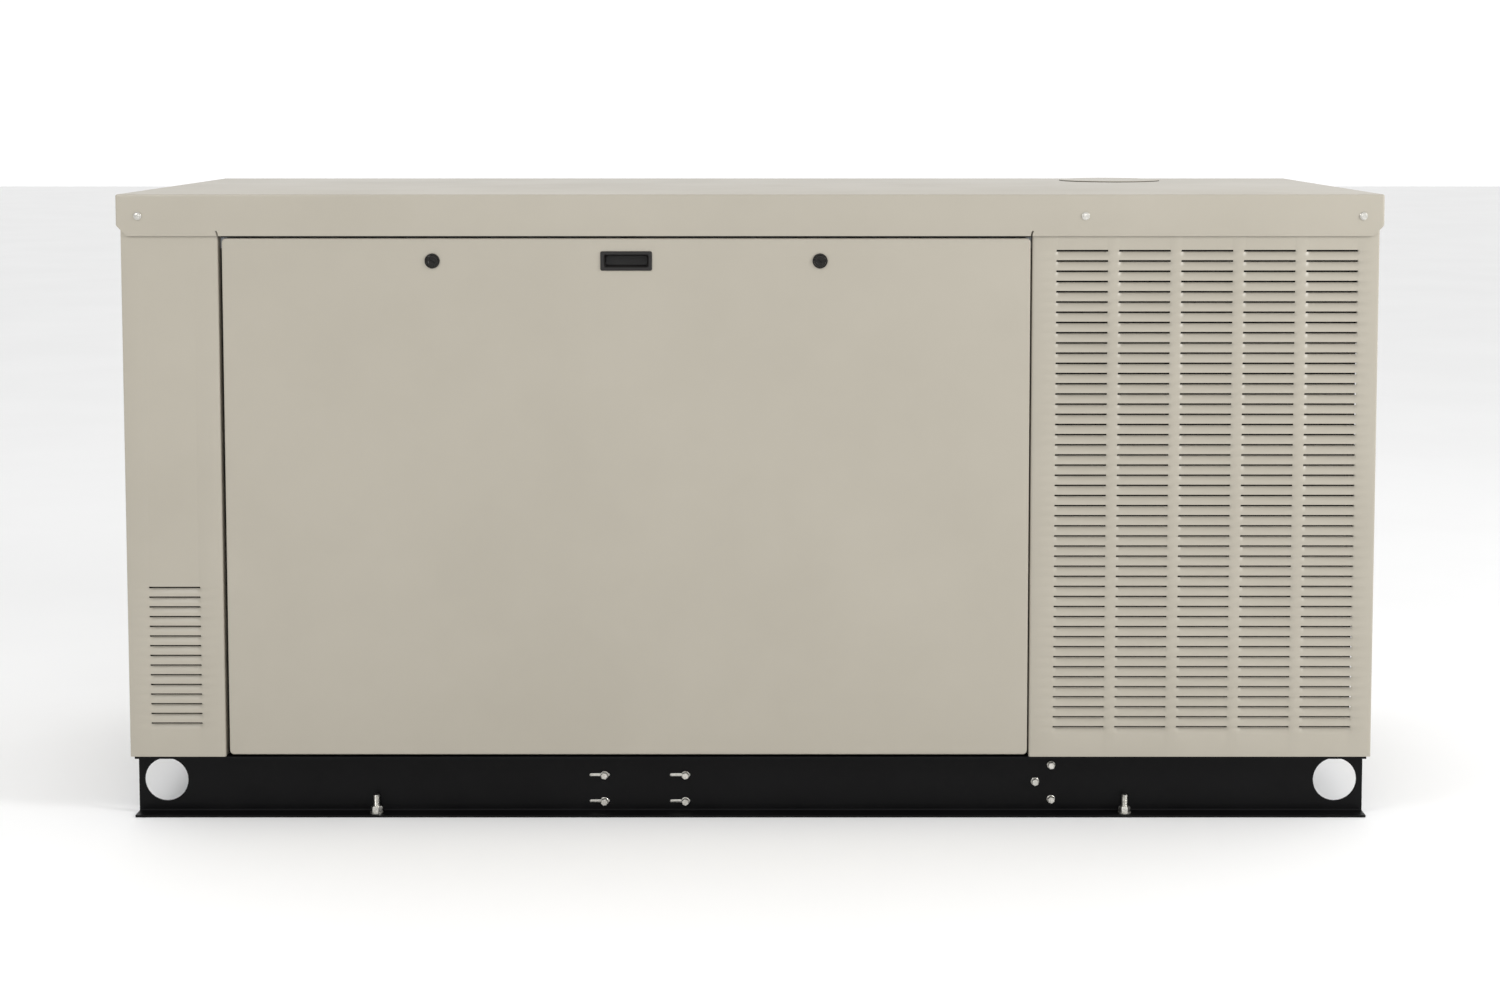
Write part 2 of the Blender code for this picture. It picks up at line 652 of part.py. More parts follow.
def fan_shroud():
    left = BULKHEAD_X - SHROUD_DEPTH
    right = BULKHEAD_X - GAP
    shell = box((left, -SHROUD_HALF, FAN_Z - SHROUD_HALF), (right, SHROUD_HALF, FAN_Z + SHROUD_HALF))
    hollow = box((left + SHEET, SHEET - SHROUD_HALF, FAN_Z + SHEET - SHROUD_HALF),
                 (right + PAST, SHROUD_HALF - SHEET, FAN_Z + SHROUD_HALF - SHEET))
    throat = rod((left - PAST, 0, FAN_Z), (left + PAST, 0, FAN_Z), FAN_RADIUS + FAN_CLEAR, 40)
    sub_part("fan_shroud", cut(shell, hollow, throat), "black_paint")


def cooling_fan():
    # belt pulley, shaft, hub and blades turn as one
    pivot = (BELT_X, 0, FAN_Z)
    left, right = BELT_X - BELT_WIDTH / 2, BELT_X + BELT_WIDTH / 2
    hub_left = BULKHEAD_X - SHROUD_DEPTH + 0.005
    hub_right = hub_left + HUB_LENGTH
    fan = rod((left, 0, FAN_Z), (right, 0, FAN_Z), FAN_PULLEY_RADIUS)
    shaft = rod((right - 0.005, 0, FAN_Z), (hub_left + 0.005, 0, FAN_Z), FAN_SHAFT_RADIUS, 16)
    hub = rod((hub_left, 0, FAN_Z), (hub_right, 0, FAN_Z), HUB_RADIUS)
    blades = []
    for count in range(FAN_BLADES):
        blade = box((-BLADE_THICK / 2, -BLADE_WIDTH / 2, HUB_RADIUS - PAST),
                    (BLADE_THICK / 2, BLADE_WIDTH / 2, FAN_RADIUS))
        blade.data.transform(Matrix.Rotation(math.radians(BLADE_PITCH), 4, "Z"))
        blade.data.transform(Matrix.Rotation(math.tau * count / FAN_BLADES, 4, "X"))
        blade.data.transform(Matrix.Translation(((hub_left + hub_right) / 2, 0, FAN_Z)))
        blades.append(blade)
    sub_part("cooling_fan", join(fan, shaft, hub, *blades), "black_plastic", pivot)


def hoses():
    head_port = Vector((BLOCK_FRONT + GAP, 0.060, BLOCK_TOP + HEAD_HEIGHT * 0.6))
    radiator_port = Vector((PLENUM_X - GAP, 0.200, RADIATOR_TOP - RADIATOR_TANK * 0.6))
    route = [head_port, head_port + Vector((0.040, 0, 0)), head_port + Vector((0.060, 0.060, 0.180)),
             radiator_port - Vector((0.080, 0, 0)), radiator_port]
    sub_part("upper_hose", pipe(route, HOSE_RADIUS), "rubber")
    pump_port = Vector((BLOCK_FRONT + 0.033, PUMP_RADIUS + GAP, FAN_Z))
    lower_port = Vector((PLENUM_X - GAP, 0.180, RADIATOR_BOTTOM + RADIATOR_TANK * 0.7))
    route = [pump_port, (pump_port.x, 0.150, FAN_Z), (pump_port.x, 0.180, CRANK_Z),
             (pump_port.x + 0.030, 0.180, lower_port.z), lower_port]
    sub_part("lower_hose", pipe(route, HOSE_RADIUS), "rubber")


fill_cover()
coolant_tank()
radiator()
fan_shroud()
cooling_fan()
hoses()


# ---- engine ----

def engine():
    block = box((BLOCK_BACK, -BLOCK_HALF, BLOCK_BOTTOM), (BLOCK_FRONT, BLOCK_HALF, BLOCK_TOP))
    feet = []
    for side in (-1, 1):
        low, high = sorted((side * (BLOCK_HALF - 0.02), side * (BLOCK_HALF + FOOT_REACH)))
        feet.append(box((FRONT_CHANNEL_X - FOOT_HALF, low, WRAP_BOTTOM),
                        (FRONT_CHANNEL_X + FOOT_HALF, high, BLOCK_BOTTOM + 0.060)))
    stick_x = BLOCK_FRONT - 0.035
    stick_y = BLOCK_HALF + GUIDE_HALF
    guide = box((stick_x - GUIDE_HALF, BLOCK_HALF - PAST, 0.420),
                (stick_x + GUIDE_HALF, stick_y + GUIDE_HALF, BLOCK_TOP - 0.010))
    bore = rod((BLOCK_BACK - PAST, 0, CRANK_Z), (BLOCK_FRONT + PAST, 0, CRANK_Z), SHAFT_RADIUS + SHAFT_RUN)
    well = rod((stick_x, stick_y, 0.440), (stick_x, stick_y, BLOCK_TOP), STICK_RADIUS + STICK_RUN, 12)
    sub_part("engine_block", cut(join(block, *feet, guide), bore, well), "engine_paint")

    stick = rod((stick_x, stick_y, 0.450), (stick_x, stick_y, BLOCK_TOP + 0.040), STICK_RADIUS, 12)
    ring = Vector((stick_x, stick_y, BLOCK_TOP + 0.050))
    loop = rod(ring - AXIS["Y"] * 0.004, ring + AXIS["Y"] * 0.004, LOOP_RADIUS, 20)
    eye = rod(ring - AXIS["Y"] * PAST, ring + AXIS["Y"] * PAST, LOOP_RADIUS - 0.006, 16)
    sub_part("dipstick", cut(join(stick, loop), eye), "steel", (stick_x, stick_y, BLOCK_TOP))

    head = box((BLOCK_BACK + 0.005, -HEAD_HALF, BLOCK_TOP + GAP), (BLOCK_FRONT, HEAD_HALF, HEAD_TOP))
    sub_part("cylinder_head", head, "cast_metal")
    cover = box((BLOCK_BACK + 0.020, -VALVE_COVER_HALF, HEAD_TOP + GAP),
                (BLOCK_FRONT - 0.010, VALVE_COVER_HALF, ENGINE_TOP))
    soft = cover.modifiers.new("soft edges", "BEVEL")
    soft.width = 0.012
    soft.segments = 2
    sub_part("valve_cover", cover, "black_plastic")
    edge = 0.004
    cap = [(0, OIL_CAP_HEIGHT), (OIL_CAP_RADIUS - edge, OIL_CAP_HEIGHT), (OIL_CAP_RADIUS, OIL_CAP_HEIGHT - edge),
           (OIL_CAP_RADIUS, GAP), (0, GAP)]
    sub_part("oil_filler_cap", turned(cap, (BLOCK_FRONT - 0.080, 0, ENGINE_TOP), sides=24), "black_plastic")
    pan = box((BLOCK_BACK + 0.010, 0.015 - BLOCK_HALF, PAN_BOTTOM),
              (FRONT_CHANNEL_X - FOOT_HALF - 0.005, BLOCK_HALF - 0.015, BLOCK_BOTTOM - GAP))
    sub_part("oil_pan", pan, "black_paint")
    pump = rod((BLOCK_FRONT + GAP, 0, FAN_Z), (BELT_X - BELT_WIDTH / 2 - GAP, 0, FAN_Z), PUMP_RADIUS)
    sub_part("water_pump", pump, "cast_metal")
    starter_y = BLOCK_HALF + STARTER_RADIUS + 0.004
    starter = rod((BLOCK_BACK, starter_y, 0.330), (BLOCK_BACK + STARTER_LENGTH, starter_y, 0.330), STARTER_RADIUS)
    sub_part("starter_motor", starter, "black_paint")


def port_boxes(start, near, far, half_height):
    # one short duct for each cylinder, between the manifold and the head
    ducts = []
    for count in range(PORTS):
        left = start + 0.020 + count * PORT_PITCH
        ducts.append(box((left, near, EXHAUST_Z - half_height), (left + PORT_WIDTH, far, EXHAUST_Z + half_height)))
    return ducts


def intake_and_exhaust():
    log_low, log_high = BLOCK_BACK + 0.080, BLOCK_FRONT - 0.080
    log_y = HEAD_HALF + GAP
    plenum = box((log_low, log_y + 0.030, EXHAUST_Z - 0.030), (log_high, log_y + 0.100, EXHAUST_Z + 0.040))
    runners = port_boxes(log_low, log_y, log_y + 0.040, 0.020)
    middle = (log_low + log_high) / 2
    throat_y = log_y + 0.065
    riser_top = EXHAUST_Z + RISER_HEIGHT
    riser = rod((middle, throat_y, EXHAUST_Z), (middle, throat_y, riser_top), RISER_RADIUS)
    sub_part("intake_manifold", join(plenum, riser, *runners), "cast_metal")
    cleaner_z = riser_top + GAP + CLEANER_RADIUS
    cleaner = rod((middle - CLEANER_LENGTH / 2, throat_y, cleaner_z),
                  (middle + CLEANER_LENGTH / 2, throat_y, cleaner_z), CLEANER_RADIUS, 28)
    seat = box((middle - 0.040, throat_y - 0.040, riser_top + GAP), (middle + 0.040, throat_y + 0.040, cleaner_z))
    sub_part("air_cleaner", join(cleaner, seat), "black_plastic")

    log_end = log_high + 0.020
    log = rod((log_low, EXHAUST_Y, EXHAUST_Z), (log_end, EXHAUST_Y, EXHAUST_Z), MANIFOLD_RADIUS)
    ports = port_boxes(log_low, EXHAUST_Y, -log_y, 0.018)
    sub_part("exhaust_manifold", join(log, *ports), "cast_metal")
    start = log_end + GAP
    drop_x = MUFFLER_LEFT - 0.075
    route = [(start, EXHAUST_Y, EXHAUST_Z), (start + 0.060, EXHAUST_Y, EXHAUST_Z),
             (start + 0.070, EXHAUST_Y, PIPE_CROSSING_Z), (BULKHEAD_X - 0.060, MUFFLER_Y, PIPE_CROSSING_Z),
             (BULKHEAD_X + 0.020, MUFFLER_Y, PIPE_CROSSING_Z), (drop_x, MUFFLER_Y, PIPE_CROSSING_Z),
             (drop_x, MUFFLER_Y, MUFFLER_Z), (MUFFLER_LEFT - GAP, MUFFLER_Y, MUFFLER_Z)]
    sub_part("exhaust_pipe", pipe(route, PIPE_RADIUS), "steel")

    right = MUFFLER_LEFT + MUFFLER_LENGTH
    can = rod((MUFFLER_LEFT, MUFFLER_Y, MUFFLER_Z), (right, MUFFLER_Y, MUFFLER_Z), MUFFLER_RADIUS, 32)
    tail = rod((right - PAST, MUFFLER_Y, MUFFLER_Z), (right + TAIL_LENGTH, MUFFLER_Y, MUFFLER_Z), TAIL_RADIUS)
    hangers = []
    for spot in (MUFFLER_LEFT + 0.060, right - 0.060):
        hangers.append(box((spot - 0.015, MUFFLER_Y - 0.0015, MUFFLER_Z + MUFFLER_RADIUS - PAST),
                           (spot + 0.015, MUFFLER_Y + 0.0015, ROOF_UNDER - GAP)))
    sub_part("muffler", join(can, tail, *hangers), "galvanised")


def crank_and_belt():
    left, right = BELT_X - BELT_WIDTH / 2, BELT_X + BELT_WIDTH / 2
    shaft = rod((BELL_BACK + 0.015, 0, CRANK_Z), (left - GAP, 0, CRANK_Z), SHAFT_RADIUS)
    flywheel = rod((BELL_BACK + 0.030, 0, CRANK_Z), (BELL_BACK + 0.060, 0, CRANK_Z), FLYWHEEL_RADIUS, 40)
    sub_part("crankshaft", join(shaft, flywheel), "steel", (BLOCK_BACK, 0, CRANK_Z))
    wheel = rod((left, 0, CRANK_Z), (right, 0, CRANK_Z), CRANK_PULLEY_RADIUS, 32)
    sub_part("crank_pulley", wheel, "steel", (BELT_X, 0, CRANK_Z))

    body_right = left - 0.012
    body = rod((body_right - CHARGER_LENGTH, CHARGER_Y, CHARGER_Z), (body_right, CHARGER_Y, CHARGER_Z),
               CHARGER_RADIUS)
    arm = box((body_right - 0.090, CHARGER_Y, CHARGER_Z - 0.015),
              (BLOCK_FRONT - 0.010, -BLOCK_HALF - GAP, CHARGER_Z + 0.015))
    sub_part("charging_alternator", join(body, arm), "cast_metal")
    wheel = rod((left, CHARGER_Y, CHARGER_Z), (right, CHARGER_Y, CHARGER_Z), CHARGER_PULLEY_RADIUS)
    stub = rod((body_right + GAP, CHARGER_Y, CHARGER_Z), (left + 0.002, CHARGER_Y, CHARGER_Z), 0.012, 16)
    sub_part("charging_pulley", join(wheel, stub), "steel", (BELT_X, CHARGER_Y, CHARGER_Z))

    wheels = [((0, CRANK_Z), CRANK_PULLEY_RADIUS), ((0, FAN_Z), FAN_PULLEY_RADIUS),
              ((CHARGER_Y, CHARGER_Z), CHARGER_PULLEY_RADIUS)]

    def loop_round(grow, steps=60):
        # the tight loop round all three wheels, each swollen by grow
        loop = []
        for step in range(steps):
            turn = math.tau * step / steps
            way = Vector((math.cos(turn), math.sin(turn)))
            edges = [Vector(middle) + way * (radius + grow) for middle, radius in wheels]
            loop.append(max(edges, key=way.dot))
        return loop

    run = GAP * 3
    belt = prism([loop_round(run + BELT_THICK), loop_round(run)], "X", left + 0.002, right - 0.002)
    sub_part("drive_belt", belt, "rubber")


def gas_regulator():
    at = Vector(REGULATOR_PLACE) + AXIS["X"] * BLOCK_BACK
    riser = rod((at.x, at.y, WRAP_BOTTOM), at, GAS_PIPE_RADIUS, 16)
    bonnet = rod(at - AXIS["Y"] * 0.030, at + AXIS["Y"] * 0.030, REGULATOR_RADIUS, 32)
    sub_part("gas_regulator", join(riser, bonnet), "cast_metal")


engine()
intake_and_exhaust()
crank_and_belt()
gas_regulator()


# ---- alternator ----

def alternator():
    bell = rod((BELL_BACK, 0, CRANK_Z), (BLOCK_BACK - GAP, 0, CRANK_Z), BELL_RADIUS, 40)
    ears = []
    for side in (-1, 1):
        low, high = sorted((side * 0.130, side * MOUNT_SPREAD))
        ears.append(box((ENGINE_CHANNEL_X - 0.040, low, 0.230), (BLOCK_BACK - GAP, high, 0.260)))
        low, high = sorted((side * (MOUNT_SPREAD - MOUNT_WIDTH), side * MOUNT_SPREAD))
        ears.append(box((ENGINE_CHANNEL_X - 0.030, low, WRAP_BOTTOM), (BLOCK_BACK - GAP, high, 0.245)))
    room = rod((BELL_BACK - PAST, 0, CRANK_Z), (BLOCK_BACK - BELL_WALL, 0, CRANK_Z), FLYWHEEL_RADIUS + 0.012, 40)
    bore = rod((BELL_BACK, 0, CRANK_Z), (BLOCK_BACK + PAST, 0, CRANK_Z), SHAFT_RADIUS + SHAFT_RUN)
    sub_part("flywheel_housing", cut(join(bell, *ears), room, bore), "cast_metal")

    right = BELL_BACK - GAP
    shell = rod((ALTERNATOR_LEFT, 0, CRANK_Z), (right, 0, CRANK_Z), ALTERNATOR_RADIUS, 40)
    feet = []
    for side in (-1, 1):
        low, high = sorted((side * 0.100, side * 0.160))
        feet.append(box((ALTERNATOR_CHANNEL_X - 0.100, low, WRAP_BOTTOM),
                        (ALTERNATOR_CHANNEL_X + 0.100, high, CRANK_Z - 0.130)))
    room = rod((ALTERNATOR_LEFT + ALTERNATOR_WALL, 0, CRANK_Z), (right + PAST, 0, CRANK_Z),
               ALTERNATOR_RADIUS - ALTERNATOR_WALL, 40)
    bore = rod((ALTERNATOR_LEFT - PAST, 0, CRANK_Z), (right, 0, CRANK_Z), SHAFT_RADIUS + SHAFT_RUN)
    sub_part("alternator_housing", cut(join(shell, *feet), room, bore), "engine_paint")

    core = rod((ALTERNATOR_LEFT + 0.060, 0, CRANK_Z), (right - 0.030, 0, CRANK_Z), ROTOR_RADIUS, 32)
    shaft = rod((ALTERNATOR_LEFT - 0.005, 0, CRANK_Z), (BELL_BACK + 0.015 - GAP, 0, CRANK_Z), SHAFT_RADIUS)
    sub_part("alternator_rotor", join(core, shaft), "steel", (ALTERNATOR_LEFT, 0, CRANK_Z))


def battery():
    length, depth, height = BATTERY_SIZE
    left = ALTERNATOR_LEFT + 0.020
    front = 0.005 - FLOOR_Y
    top = BASE_HEIGHT + height
    case = box((left, front, WRAP_BOTTOM), (left + length, front + depth, top))
    posts = []
    for spot in (left + BATTERY_POST_INSET, left + length - BATTERY_POST_INSET):
        foot = Vector((spot, front + 0.030, top - PAST))
        posts.append(rod(foot, foot + AXIS["Z"] * 0.025, BATTERY_POST_RADIUS, 16))
    sub_part("battery", join(case, *posts), "black_plastic")


def controls():
    length, depth, height = CONTROL_SIZE
    left = ALTERNATOR_LEFT + 0.030
    right = left + length
    top = CONTROL_BOTTOM + height
    back = CONTROL_FRONT + depth
    wall = CONTROL_WALL
    shell = box((left, CONTROL_FRONT, CONTROL_BOTTOM), (right, back, top))
    room = box((left + wall, CONTROL_FRONT + CONTROL_FACE, CONTROL_BOTTOM + wall),
               (right - wall, back + PAST, top - wall))
    stance = back - 0.040
    saddle = CRANK_Z + math.sqrt(ALTERNATOR_RADIUS ** 2 - stance ** 2) + 0.001
    legs = []
    for spot in (left + 0.050, right - 0.050):
        legs.append(box((spot - 0.015, stance - 0.003, saddle), (spot + 0.015, stance, CONTROL_BOTTOM + PAST)))
    panel_z = CONTROL_BOTTOM + height * 0.30
    middle = (left + right) / 2
    wells = []
    buttons = (("auto_button", "green_plastic"), ("off_button", "red_plastic"), ("manual_button", "black_plastic"))
    for count, (name, finish) in enumerate(buttons):
        spot = Vector((middle + (count - 1) * BUTTON_PITCH, CONTROL_FRONT, panel_z))
        face = spot - AXIS["Y"] * BUTTON_PROUD
        tail = face + AXIS["Y"] * BUTTON_LENGTH
        wells.append(rod(spot - AXIS["Y"] * PAST, tail + AXIS["Y"] * 0.005, BUTTON_RADIUS + BUTTON_RUN, 20))
        sub_part(name, rod(face, tail, BUTTON_RADIUS, 20), finish, spot)
    sub_part("control_box", cut(join(shell, *legs), room, *wells), "black_paint")

    wide, deep, tall = BREAKER_SIZE
    low = CONTROL_BOTTOM + 0.040
    case = box((right + GAP, CONTROL_FRONT, low), (right + wide, CONTROL_FRONT + deep, low + tall))
    middle = right + wide / 2
    centre = low + tall / 2
    pocket_wide, pocket_deep, pocket_tall = TOGGLE_POCKET
    slot = box((middle - pocket_wide / 2, CONTROL_FRONT - PAST, centre - pocket_tall / 2),
               (middle + pocket_wide / 2, CONTROL_FRONT + pocket_deep, centre + pocket_tall / 2))
    sub_part("circuit_breaker", cut(case, slot), "black_plastic")
    pivot = Vector((middle, CONTROL_FRONT + 0.012, centre))
    half = pocket_wide / 2 - 0.001
    drum = rod(pivot - AXIS["X"] * half, pivot + AXIS["X"] * half, TOGGLE_RADIUS, 20)
    lever = box((middle - 0.005, -0.028, -0.005), (middle + 0.005, 0, 0.005))
    drooping = Matrix.Rotation(math.radians(-TOGGLE_TILT), 4, "X")
    lever.data.transform(Matrix.Translation((0, pivot.y, pivot.z)) @ drooping)
    sub_part("breaker_toggle", join(drum, lever), "red_plastic", pivot)


alternator()
battery()
controls()
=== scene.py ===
import math

import bmesh
import bpy
from mathutils import Matrix, Vector


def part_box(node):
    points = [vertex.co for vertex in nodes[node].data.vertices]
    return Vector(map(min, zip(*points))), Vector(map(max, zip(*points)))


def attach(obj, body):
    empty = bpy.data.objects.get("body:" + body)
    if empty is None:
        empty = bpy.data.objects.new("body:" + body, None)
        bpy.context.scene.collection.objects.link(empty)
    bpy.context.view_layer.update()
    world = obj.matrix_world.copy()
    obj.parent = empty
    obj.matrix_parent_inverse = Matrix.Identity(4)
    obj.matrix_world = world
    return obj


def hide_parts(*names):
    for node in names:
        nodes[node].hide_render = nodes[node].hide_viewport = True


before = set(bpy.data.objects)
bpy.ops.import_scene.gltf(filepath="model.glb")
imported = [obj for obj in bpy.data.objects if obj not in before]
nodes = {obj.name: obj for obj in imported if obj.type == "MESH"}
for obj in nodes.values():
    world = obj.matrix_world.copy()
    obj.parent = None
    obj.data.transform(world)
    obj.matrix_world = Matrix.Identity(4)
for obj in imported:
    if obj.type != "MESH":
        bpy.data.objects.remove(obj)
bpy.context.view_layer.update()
print("frame loaded:", len(nodes), "nodes")


# a front view from eye height, a little right of centre, looking down by the pitch in degrees
cameraPlace = {"at": (0.049, -4.594, 1.313), "pitch": 4.0, "lens": 55.9, "sensor": 36.0,
               "shiftX": -0.0182, "shiftY": -0.1596}
lens = bpy.data.cameras.new("frontCamera")
lens.lens = cameraPlace["lens"]
lens.sensor_width = cameraPlace["sensor"]
lens.shift_x = cameraPlace["shiftX"]
lens.shift_y = cameraPlace["shiftY"]
camera = bpy.data.objects.new("frontCamera", lens)
camera.location = cameraPlace["at"]
camera.rotation_euler = (math.radians(90 - cameraPlace["pitch"]), 0, 0)
bpy.context.scene.collection.objects.link(camera)
bpy.context.scene.camera = camera


def linear(hexColour):
    # an sRGB hex colour as the linear numbers that shaders use
    shares = [int(hexColour[start:start + 2], 16) / 255 for start in (1, 3, 5)]
    return (*[c / 12.92 if c <= 0.04045 else ((c + 0.055) / 1.055) ** 2.4 for c in shares], 1)


def addNode(tree, kind, settings, links=None):
    # settings name the node's own properties or its sockets; links take another node's outputs
    node = tree.nodes.new("ShaderNode" + kind)
    for name, value in settings.items():
        if hasattr(node, str(name)):
            setattr(node, name, value)
        else:
            node.inputs[name].default_value = value
    for name, source in (links or {}).items():
        tree.links.new(source, node.inputs[name])
    return node


# an even white room: a bright backdrop behind the object, a dimmer room in front of it
studio = {
    "backdrop": 1.08, "room": 0.64, "roomColour": "#ffffff",
    "fade": (-0.35, 0.25),        # where, from front to back, the room brightens to the backdrop
    "aim": (0, 0, 0.5),
}
# place, size and strength in watts
softBoxes = {
    "left": ((-2.3, -2.3, 2.7), (1.4, 1.4), 30),
    "right": ((4.3, -2.3, 2.7), (1.2, 1.2), 120),
    "front": ((0.6, -6.5, 2.6), (5.0, 2.6), 50),
}
world = bpy.data.worlds.new("studio")
world.use_nodes = True
background = world.node_tree.nodes["Background"]
background.inputs["Color"].default_value = linear(studio["roomColour"])
way = addNode(world.node_tree, "TexCoord", {})
ways = addNode(world.node_tree, "SeparateXYZ", {}, {"Vector": way.outputs["Generated"]})
shade = addNode(world.node_tree, "MapRange", {
    "From Min": studio["fade"][0], "From Max": studio["fade"][1],
    "To Min": studio["room"], "To Max": studio["backdrop"]}, {"Value": ways.outputs["Y"]})
world.node_tree.links.new(shade.outputs["Result"], background.inputs["Strength"])
bpy.context.scene.world = world
bpy.context.scene.view_settings.view_transform = "Standard"
for name, (place, size, strength) in softBoxes.items():
    lamp = bpy.data.lights.new(name + "SoftBox", "AREA")
    lamp.shape = "RECTANGLE"
    lamp.size, lamp.size_y = size
    lamp.energy = strength
    holder = bpy.data.objects.new(name + "SoftBox", lamp)
    holder.location = place
    toward = Vector(studio["aim"]) - Vector(place)
    holder.rotation_euler = toward.to_track_quat("-Z", "Y").to_euler()
    holder.visible_camera = False
    bpy.context.scene.collection.objects.link(holder)
print("camera and lights placed")


def perMetre(millimetres):
    # the texture scale that gives features of that real size
    return 1000 / millimetres


def makeMaterial(name, look):
    # look: the two colours it drifts between and over what size, the size and depth of its
    # surface grain, and how its gloss varies; every size is in millimetres
    material = bpy.data.materials.new(name)
    material.use_nodes = True
    tree = material.node_tree
    surface = tree.nodes["Principled BSDF"]
    for key, socket in (("metallic", "Metallic"), ("ior", "IOR"),
                        ("specular", "Specular IOR Level")):
        if key in look:
            surface.inputs[socket].default_value = look[key]
    place = addNode(tree, "TexCoord", {})
    spread = addNode(tree, "Mapping", {"Scale": look.get("stretch", (1, 1, 1))},
                     {"Vector": place.outputs["Object"]})
    drift = addNode(tree, "TexNoise", {"Scale": perMetre(look["driftSize"]), "Detail": 3.0,
                                       "Roughness": 0.6}, {"Vector": spread.outputs["Vector"]})
    if look.get("pattern") == "spangle":
        drift = addNode(tree, "TexVoronoi", {"Scale": perMetre(look["driftSize"])},
                        {"Vector": spread.outputs["Vector"]})
        share = addNode(tree, "SeparateColor", {}, {"Color": drift.outputs["Color"]}).outputs["Red"]
    else:
        share = addNode(tree, "MapRange", {"From Min": 0.35, "From Max": 0.65},
                        {"Value": drift.outputs["Fac"]}).outputs["Result"]
    # the colour mix takes its factor, first colour and second colour on sockets 0, 6 and 7
    colour = addNode(tree, "Mix", {"data_type": "RGBA", 6: linear(look["colour"]),
                                   7: linear(look["drift"])}, {0: share})
    tree.links.new(colour.outputs[2], surface.inputs["Base Color"])
    gloss = addNode(tree, "MapRange", {
        "To Min": look["roughness"] - look["glossDrift"],
        "To Max": look["roughness"] + look["glossDrift"]}, {"Value": share})
    tree.links.new(gloss.outputs["Result"], surface.inputs["Roughness"])
    if look.get("pattern") == "pores":
        grain = addNode(tree, "TexVoronoi", {"Scale": perMetre(look["grainSize"])},
                        {"Vector": spread.outputs["Vector"]}).outputs["Distance"]
    else:
        grain = addNode(tree, "TexNoise", {"Scale": perMetre(look["grainSize"]),
                                           "Detail": look.get("detail", 2.0)},
                        {"Vector": spread.outputs["Vector"]}).outputs["Fac"]
    bump = addNode(tree, "Bump", {"Strength": 1.0, "Distance": look["grainDepth"] / 1000},
                   {"Height": grain})
    tree.links.new(bump.outputs["Normal"], surface.inputs["Normal"])
    return material


# polyester powder coat, baked on: smooth and half matt, with the faint ripple of orange peel
# (about 1.5 mm on the real sheet, drawn at 4 mm so that it shows)
powderCoat = makeMaterial("powderCoatKhaki", {
    "colour": "#a9a396", "drift": "#a6a093", "driftSize": 260, "grainSize": 4, "grainDepth": 0.03,
    "roughness": 0.38, "glossDrift": 0.02, "ior": 1.5})
# chassis enamel, brushed on thick plate: glossier and almost black
chassisEnamel = makeMaterial("chassisEnamelBlack", {
    "colour": "#070708", "drift": "#0c0c0d", "driftSize": 120, "grainSize": 5, "grainDepth": 0.06,
    "roughness": 0.4, "glossDrift": 0.06, "ior": 1.5, "specular": 0.12})
# bright zinc plating on rolled steel: silvery with a faint milky bloom
zincPlate = makeMaterial("zincPlatedSteel", {
    "colour": "#d7d5cf", "drift": "#c4c2bb", "driftSize": 6, "grainSize": 1.2, "grainDepth": 0.02,
    "roughness": 0.32, "glossDrift": 0.08, "metallic": 1.0})
# hot-dipped galvanised sheet: grey crystals 12 mm across, each with its own tone
galvanised = makeMaterial("galvanisedSheet", {
    "colour": "#9fa3a6", "drift": "#b8bbbd", "driftSize": 12, "grainSize": 3, "grainDepth": 0.02,
    "roughness": 0.42, "glossDrift": 0.08, "metallic": 0.9, "pattern": "spangle"})
# sprayed engine enamel over rough iron castings: dark grey, with the sand texture under it
castIron = makeMaterial("enamelledCastIron", {
    "colour": "#44484c", "drift": "#3a3e42", "driftSize": 60, "grainSize": 2.2, "grainDepth": 0.25,
    "roughness": 0.52, "glossDrift": 0.08, "detail": 4.0, "ior": 1.5})
# bare sand-cast aluminium: pale, dull and pitted
castAluminium = makeMaterial("castAluminium", {
    "colour": "#a7a8a6", "drift": "#8f908e", "driftSize": 40, "grainSize": 1.6, "grainDepth": 0.18,
    "roughness": 0.5, "glossDrift": 0.1, "metallic": 0.85, "detail": 4.0})
# turned and ground steel: fine rings left by the tool, drawn coarse
turnedSteel = makeMaterial("turnedSteel", {
    "colour": "#b4b3af", "drift": "#98968f", "driftSize": 14, "grainSize": 1.5, "grainDepth": 0.02,
    "roughness": 0.34, "glossDrift": 0.08, "metallic": 1.0, "stretch": (4, 0.6, 0.6)})
# aluminised exhaust steel: heat-stained, drifting to brown in random patches
exhaustSteel = makeMaterial("aluminisedExhaustSteel", {
    "colour": "#94908a", "drift": "#6f6256", "driftSize": 90, "grainSize": 2, "grainDepth": 0.05,
    "roughness": 0.48, "glossDrift": 0.1, "metallic": 0.9})
# glass-filled nylon, moulded with a fine spark-eroded texture
blackNylon = makeMaterial("glassFilledNylon", {
    "colour": "#191817", "drift": "#201e1d", "driftSize": 50, "grainSize": 1.2, "grainDepth": 0.06,
    "roughness": 0.5, "glossDrift": 0.05, "ior": 1.53, "specular": 0.3})
# black chromated zinc on the key locks: dark, smooth metal
blackLock = makeMaterial("blackChromatedZinc", {
    "colour": "#12100e", "drift": "#191714", "driftSize": 8, "grainSize": 1.5, "grainDepth": 0.02,
    "roughness": 0.28, "glossDrift": 0.05, "ior": 1.5, "specular": 0.3})
